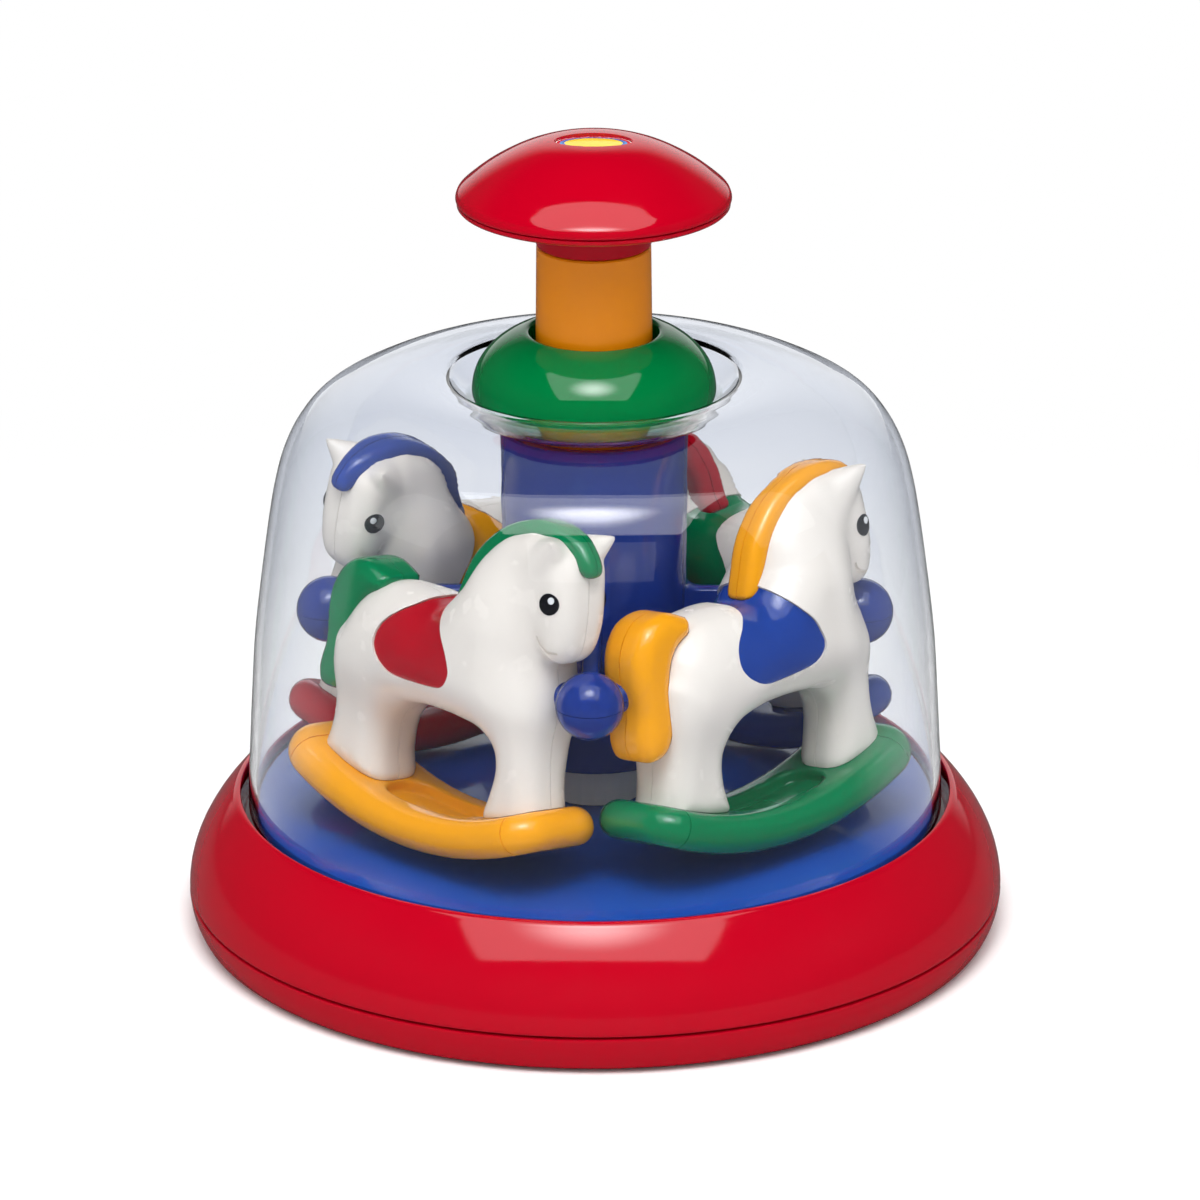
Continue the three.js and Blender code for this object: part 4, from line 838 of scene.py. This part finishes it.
mane_line = spline([(2.4, 45), (4.2, 50.5), (7.6, 58.8), (15, 66.8), (24.5, 71.4), (33, 72),
                    (40, 70.4), (44, 67), (45.6, 63.6), (44, 61.6), (40, 63), (36, 65),
                    (28, 66), (19, 62.2), (12.8, 54), (9.8, 48), (7, 44.4), (2.4, 45)], 4)[:-1]
tail_line = spline([(-18.5, 46.4), (-25, 49), (-32, 47.6), (-36.4, 42), (-37.6, 35), (-37, 27),
                    (-38.4, 20), (-36.6, 15.2), (-31, 15.6), (-27.4, 21), (-26.8, 28),
                    (-26.6, 34), (-24, 39.5), (-19, 42.5), (-18.5, 46.4)], 4)[:-1]
saddle_line = [(3.5, 51), (6.6, 46.4), (9.8, 42.4), (12.7, 39), (14.4, 36), (15.6, 32), (13, 28.4),
               (7, 27.2), (-3, 27), (-8.5, 29.2), (-11.4, 32.4), (-11.6, 35.8), (-10, 39),
               (-6.6, 42.2), (-3.6, 45), (-2.6, 51)]


def grid_for(low, high, spacing):
    axes = [np.arange(a, b + spacing, spacing) for a, b in zip(low, high)]
    return np.meshgrid(*axes, indexing="ij")


def outline_distance(line, ahead, up):
    """Distance from points to a closed outline, negative inside it."""
    nearest = np.full(ahead.shape, 1e9)
    inside = np.zeros(ahead.shape, bool)
    for (t0, h0), (t1, h1) in zip(line, line[1:] + line[:1]):
        dt, dh = t1 - t0, h1 - h0
        share = np.clip(((ahead - t0) * dt + (up - h0) * dh) / (dt * dt + dh * dh), 0, 1)
        nearest = np.minimum(nearest, (ahead - t0 - share * dt) ** 2 + (up - h0 - share * dh) ** 2)
        crosses = ((h0 > up) != (h1 > up)) & (ahead < dt * (up - h0) / (dh or 1e-9) + t0)
        inside ^= crosses
    return np.where(inside, -1, 1) * np.sqrt(nearest)


def padded_slab(flat, out, half_width, rounding):
    """An outline made half_width thick each way, with its edges rounded."""
    side = np.abs(out) - half_width + rounding
    edge = flat + rounding
    return np.minimum(np.maximum(edge, side), 0) - rounding + np.hypot(
        np.maximum(edge, 0), np.maximum(side, 0))


def blended(first, second, fillet):
    near = np.clip(0.5 + 0.5 * (second - first) / fillet, 0, 1)
    return second + (first - second) * near - fillet * near * (1 - near)


def step_between(value, low, high):
    share = np.clip((value - low) / (high - low), 0, 1)
    return share * share * (3 - 2 * share)


def skin_of(name, field, low, spacing, level=0.0, sharp_angle=40):
    """The surface where a field on an even grid crosses a level, as one closed mesh."""
    field = field - level
    size = np.array(field.shape) - 1
    total, count = np.zeros((*size, 3)), np.zeros(size)
    for axis in range(3):
        u, v = [a for a in range(3) if a != axis]
        for i in (0, 1):
            for j in (0, 1):
                start = [None] * 3
                start[axis] = slice(0, size[axis])
                start[u], start[v] = slice(i, size[u] + i), slice(j, size[v] + j)
                end = list(start)
                end[axis] = slice(1, size[axis] + 1)
                a, b = field[tuple(start)], field[tuple(end)]
                crossed = (a < 0) != (b < 0)
                corner = np.zeros((*size, 3))
                corner[..., u], corner[..., v] = i, j
                corner[..., axis] = np.where(crossed, a / np.where(crossed, a - b, 1), 0)
                total += corner * crossed[..., None]
                count += crossed
    active = count > 0
    index = np.full(size, -1)
    index[active] = np.arange(active.sum())
    points = np.array(low) + (np.argwhere(active) + total[active] / count[active][:, None]) * spacing
    faces = []
    for axis in range(3):
        u, v = (axis + 1) % 3, (axis + 2) % 3
        start, end = [slice(1, -1)] * 3, [slice(1, -1)] * 3
        start[axis], end[axis] = slice(0, -1), slice(1, None)
        a, b = field[tuple(start)], field[tuple(end)]
        crossed = np.argwhere((a < 0) != (b < 0))
        outward = (a < 0)[tuple(crossed.T)]
        node = crossed.copy()
        node[:, u] += 1
        node[:, v] += 1
        unit = np.eye(3, dtype=int)
        around = [node - unit[u] - unit[v], node - unit[v], node, node - unit[u]]
        quads = np.stack([index[tuple(corner.T)] for corner in around], axis=1)
        quads[~outward] = quads[~outward][:, ::-1]
        faces.append(quads)
    mesh = bpy.data.meshes.new(name)
    mesh.from_pydata((points / 1000).tolist(), [], np.concatenate(faces).tolist())
    piece = bpy.data.objects.new(name, mesh)
    bpy.context.collection.objects.link(piece)
    return piece


def standing_slab(name, line, low, high):
    """An outline in the t, h plane, drawn out between two places across the horse."""
    shape = bmesh.new()
    near = [shape.verts.new((t / 1000, h / 1000, low / 1000)) for t, h in line]
    far = [shape.verts.new((t / 1000, h / 1000, high / 1000)) for t, h in line]
    for k in range(len(line)):
        n = (k + 1) % len(line)
        shape.faces.new((near[k], near[n], far[n], far[k]))
    shape.faces.new(near[::-1])
    shape.faces.new(far)
    bmesh.ops.recalc_face_normals(shape, faces=shape.faces)
    return shape_to_piece(name, shape)


def twin(piece, name):
    """A second copy of a piece, for a cutter that is needed twice."""
    copy = bpy.data.objects.new(name, piece.data.copy())
    bpy.context.collection.objects.link(copy)
    return copy


body_low = (-36, -6, -18)
T, H, W = grid_for(body_low, (48, 74, 18), body_grid)
flat_t, flat_h = T[:, :, 0], H[:, :, 0]


def layer(line):
    return outline_distance(line, flat_t, flat_h)[:, :, None]


neck_share = step_between(H, 44, 66)
chest_share = step_between(T, 22, 38) * (1 - neck_share)
rump_share = step_between(-T, 2, 20)
torso_half = 15.4 - 6.4 * neck_share - 3.2 * chest_share - 2.8 * rump_share
body_field = padded_slab(layer(torso_line), W, torso_half, np.minimum(torso_half - 0.6, 13.0))
for leg_line, shin, thigh in ((front_leg_line, 8.2, 10.6), (hind_leg_line, 8.9, 12.0)):
    leg_half = shin + (thigh - shin) * step_between(H, 6, 28)
    leg = padded_slab(layer(leg_line), W, leg_half, 6.2)
    body_field = blended(body_field, leg, 7.0)
head_half = 8.6 - 1.0 * (1 - step_between(H, 41, 52)) - 0.6 * step_between(H, 62, 70)
head = padded_slab(layer(head_line), W, head_half, 5.8)
for side in (1, -1):
    foot, tip = np.array((33.4, 63.0, side * 3.4)), np.array((39.6, 69.6, side * 10.0))
    along = tip - foot
    offset = np.stack([T - foot[0], H - foot[1], W - foot[2]], axis=-1)
    share = np.clip(offset @ along / (along @ along), 0, 1)
    ear = np.linalg.norm(offset - share[..., None] * along, axis=-1) - (7.4 - 6.6 * share)
    head = blended(head, ear, 0.8)
body_field = blended(body_field, head, 2.2)

mane_low = (-6, 40, -8)
Tm, Hm, Wm = grid_for(mane_low, (48, 78, 8), trim_grid)
mane_field = padded_slab(outline_distance(mane_line, Tm[:, :, 0], Hm[:, :, 0])[:, :, None],
                         Wm, 4.5 - 1.3 * step_between(Tm, 33, 43), 2.6)
tail_low = (-44, 10, -11)
Tt, Ht, Wt = grid_for(tail_low, (-14, 54, 11), trim_grid)
tail_field = padded_slab(outline_distance(tail_line, Tt[:, :, 0], Ht[:, :, 0])[:, :, None],
                         Wt, 7.7, 4.2)

# The rocker under each horse: a bent, round-edged plank with a trough between the legs and
# a fine line across each end where the moulds met.
rocker_arc, rocker_thickness, rocker_half_width = 92.0, 9.5, 15.0
rocker_ends = (-41.5, 45.6)
rocker_middle = (2.8, rocker_arc - 13.9)
rocker_low = (-46, -18, -17.5)
Tr, Hr, Wr = grid_for(rocker_low, (50, 9, 17.5), trim_grid)


def along_arc(t, h):
    """Length along the rocker's arc, and depth below the middle of its thickness."""
    run, rise = t - rocker_middle[0], rocker_middle[1] - h
    return (rocker_arc - rocker_thickness / 2) * np.arctan2(run, rise), \
        np.hypot(run, rise) - rocker_arc + rocker_thickness / 2


arc_place, arc_depth = along_arc(Tr, Hr)
arc_ends = [along_arc(np.array(t), np.array(-9.2 + (t - rocker_middle[0]) ** 2 / 184))[0]
            for t in rocker_ends]
arc_centre, arc_half = sum(arc_ends) / 2, (arc_ends[1] - arc_ends[0]) / 2
plan_round = 10.0
plan_t = np.abs(arc_place - arc_centre) - arc_half + plan_round
plan_w = np.abs(Wr) - rocker_half_width + plan_round
plan = np.minimum(np.maximum(plan_t, plan_w), 0) - plan_round + np.hypot(
    np.maximum(plan_t, 0), np.maximum(plan_w, 0))
edge_round = 4.55
rocker_field = np.minimum(np.maximum(plan, np.abs(arc_depth) - rocker_thickness / 2) + edge_round, 0)
rocker_field = rocker_field - edge_round + np.hypot(
    np.maximum(plan + edge_round, 0),
    np.maximum(np.abs(arc_depth) - rocker_thickness / 2 + edge_round, 0))
trough_t = np.abs(arc_place - along_arc(np.array(4.5), np.array(-8.75))[0]) - 17.5 + 6
trough_w = np.abs(Wr) - 6.8 + 6
trough = np.minimum(np.maximum(trough_t, trough_w), 0) - 6 + np.hypot(
    np.maximum(trough_t, 0), np.maximum(trough_w, 0))
trough = np.maximum(trough, arc_depth + rocker_thickness / 2 - 3.0)
rocker_field = -blended(-rocker_field, trough, 0.9)

rocker = skin_of("rocker_blank", rocker_field, rocker_low, trim_grid)
for t in (-36.5, 40.6):
    tilt = math.asin((t - rocker_middle[0]) / rocker_arc)
    shape = bmesh.new()
    bmesh.ops.create_cube(shape, matrix=Matrix.Translation((rocker_middle[0] / 1000,
                          rocker_middle[1] / 1000, 0)) @ Matrix.Rotation(tilt, 4, "Z")
                          @ Matrix.Translation((0, -rocker_arc / 1000, 0))
                          @ Matrix.Diagonal((0.00028, 0.03, 0.04, 1)))
    mould_line = shape_to_piece("mould_line", shape)
    carve(mould_line, skin_of("rocker_core", rocker_field, rocker_low, trim_grid, -0.3))
    carve(rocker, mould_line)

# Mane and tail, each moulded in colour and snapped over the body, with a shallow seam on
# the middle plane. The saddle is a skin let into the back, a little below the white edge.
seam_plate = [(-60, -30), (70, -30), (70, 90), (-60, 90)]
mane = skin_of("mane_blank", mane_field, mane_low, trim_grid)
carve(mane, carve(standing_slab("seam", seam_plate, -0.13, 0.13),
                  skin_of("mane_core", mane_field, mane_low, trim_grid, -0.35)))
tail = skin_of("tail_blank", tail_field, tail_low, trim_grid)
carve(tail, carve(standing_slab("seam", seam_plate, -0.13, 0.13),
                  skin_of("tail_core", tail_field, tail_low, trim_grid, -0.35)))

saddle = carve(skin_of("saddle_blank", body_field, body_low, body_grid, -0.55),
               standing_slab("saddle_room", spline(saddle_line, 4), -20, 20), "INTERSECT")
carve(saddle, skin_of("body_core", body_field, body_low, body_grid, -2.0))
carve(saddle, skin_of("mane_room", mane_field, mane_low, trim_grid, 0.15))

body = skin_of("body_blank", body_field, body_low, body_grid)
saddle_room = standing_slab("saddle_room", spline(
    [(t + 0.12 * np.sign(t - 3), h) for t, h in saddle_line], 4), -20, 20)
carve(saddle_room, skin_of("body_core", body_field, body_low, body_grid, -2.15))
carve(body, saddle_room)
carve(body, skin_of("mane_room", mane_field, mane_low, trim_grid, 0.12))
carve(body, skin_of("tail_room", tail_field, tail_low, trim_grid, 0.12))
carve(body, skin_of("rocker_room", rocker_field, rocker_low, trim_grid, 0.15))
halves = {"outer": carve(twin(body, "body_outer"),
                         standing_slab("outer_room", seam_plate, 0.08, 30), "INTERSECT"),
          "inner": carve(body, standing_slab("inner_room", seam_plate, -30, -0.08), "INTERSECT")}

horse_white = plastic("horse_white", (0.813, 0.745, 0.665, 1), gloss=0.24, drift=0.02, wear=0.06,
                      ripple=0.00004)
trim_colours = {
    "green": plastic("plastic_green", (0.0, 0.19, 0.065, 1), gloss=0.10),
    "amber": plastic("plastic_amber", (0.90, 0.36, 0.008, 1), gloss=0.12),
    "blue": plastic("plastic_blue", (0.014, 0.050, 0.28, 1), gloss=0.10),
    "red": plastic("plastic_red", (0.43, 0.002, 0.012, 1), gloss=0.10),
}
eye_black = plastic("eye_black", (0.006, 0.006, 0.008, 1), gloss=0.1, drift=0.02)
eye_white = plastic("eye_white", (0.80, 0.80, 0.79, 1), gloss=0.16, drift=0.02)
horses = (("horse_1", 225, "green", "red", "amber"), ("horse_2", 315, "amber", "blue", "green"),
          ("horse_3", 45, "red", "green", "blue"), ("horse_4", 135, "blue", "amber", "red"))


def head_surface(t, h, side):
    """Where the head's skin lies at a place, and which way it faces there."""
    spot = bpy.data.objects["body_outer" if side > 0 else "body_blank"]
    hit, place, normal, _ = spot.ray_cast(Vector((t, h, side * 30)) / 1000, Vector((0, 0, -side)))
    return place * 1000, normal


def disc_on_skin(name, t, h, side, radius, proud, sunk, rise):
    """A low domed disc that lies on the head's skin."""
    place, normal = head_surface(t, h, side)
    shape = bmesh.new()
    loops = []
    for out, up in ((radius, -sunk), (radius, proud), (radius * 0.93, proud + rise * 0.4),
                    (radius * 0.6, proud + rise * 0.85), (radius * 0.2, proud + rise)):
        loops.append([shape.verts.new((out * math.cos(k * math.pi / 20) / 1000,
                                       out * math.sin(k * math.pi / 20) / 1000, up / 1000))
                      for k in range(40)])
    for before, after in zip(loops, loops[1:]):
        for k in range(40):
            shape.faces.new((before[k], before[(k + 1) % 40], after[(k + 1) % 40], after[k]))
    shape.faces.new(loops[0][::-1])
    shape.faces.new(loops[-1])
    disc = shape_to_piece(name, shape, 50)
    disc.data.transform(Matrix.Translation(place / 1000)
                        @ normal.to_track_quat("Z", "Y").to_matrix().to_4x4())
    return disc


def smile_groove(side):
    """A thin bent bar that cuts the mouth's line into the muzzle."""
    mouth = spline([(35.8, 46.4), (36.4, 44.9), (37.8, 43.8), (39.6, 43.2), (41.4, 43.3)], 6)
    rings = []
    for i, (t, h) in enumerate(mouth):
        place, normal = head_surface(t, h, side)
        taper = 0.22 + 0.36 * math.sin(math.pi * min(max(i / (len(mouth) - 1), 0.06), 0.94))
        before, after = mouth[max(i - 1, 0)], mouth[min(i + 1, len(mouth) - 1)]
        ahead = Vector((after[0] - before[0], after[1] - before[1], 0)).normalized()
        across = ahead.cross(normal).normalized()
        rings.append([place + across * taper * math.cos(k * math.pi / 4)
                      + normal * taper * 1.3 * math.sin(k * math.pi / 4) for k in range(8)])
    return lofted("smile_groove", rings)


eyes, pupils = {}, {}
for side, half in ((1, "outer"), (-1, "inner")):
    eyes[half] = disc_on_skin("eye_blank", 39.3, 55.0, side, 2.6, 0.06, 0.8, 0.22)
    pupils[half] = disc_on_skin("pupil_blank", 39.9, 56.0, side, 0.82, 0.44, 0.1, 0.06)
for side, half in ((1, "outer"), (-1, "inner")):
    groove = smile_groove(side)
    carve(halves[half], groove)

for horse, azimuth, trim, seat, plank in horses:
    a = math.radians(azimuth)
    lean_cos, lean_sin = math.cos(horse_lean), math.sin(horse_lean)
    frame_of_horse = Matrix((
        (-math.sin(a), -lean_sin * math.cos(a), lean_cos * math.cos(a), horse_circle * math.cos(a) / 1000),
        (math.cos(a), -lean_sin * math.sin(a), lean_cos * math.sin(a), horse_circle * math.sin(a) / 1000),
        (0, lean_cos, lean_sin, hoof_height / 1000),
        (0, 0, 0, 1)))
    for label, blank, material, slot, node in (
            ("outer_half", halves["outer"], horse_white, "horse_white", "body_outer"),
            ("inner_half", halves["inner"], horse_white, "horse_white", "body_inner"),
            ("mane_piece", mane, trim_colours[trim], "plastic_" + trim, "mane"),
            ("tail_piece", tail, trim_colours[trim], "plastic_" + trim, "tail"),
            ("saddle_skin", saddle, trim_colours[seat], "plastic_" + seat, "saddle"),
            ("rocker_plank", rocker, trim_colours[plank], "plastic_" + plank, "rocker"),
            ("outer_eye", eyes["outer"], eye_black, "horse_white", None),
            ("inner_eye", eyes["inner"], eye_black, "horse_white", None),
            ("outer_eye_light", pupils["outer"], eye_white, "horse_white", None),
            ("inner_eye_light", pupils["inner"], eye_white, "horse_white", None)):
        piece = twin(blank, f"{horse}_{label}")
        piece.data.transform(frame_of_horse)
        piece.data.shade_smooth()
        piece.data.set_sharp_from_angle(angle=math.radians(42))
        if node:
            dress(piece, material, horse, slot, f"{horse}_{node}")
        else:
            dress(piece, material, horse, slot)
for blank in [*halves.values(), *eyes.values(), *pupils.values(), mane, tail, saddle, rocker]:
    bpy.data.objects.remove(blank)
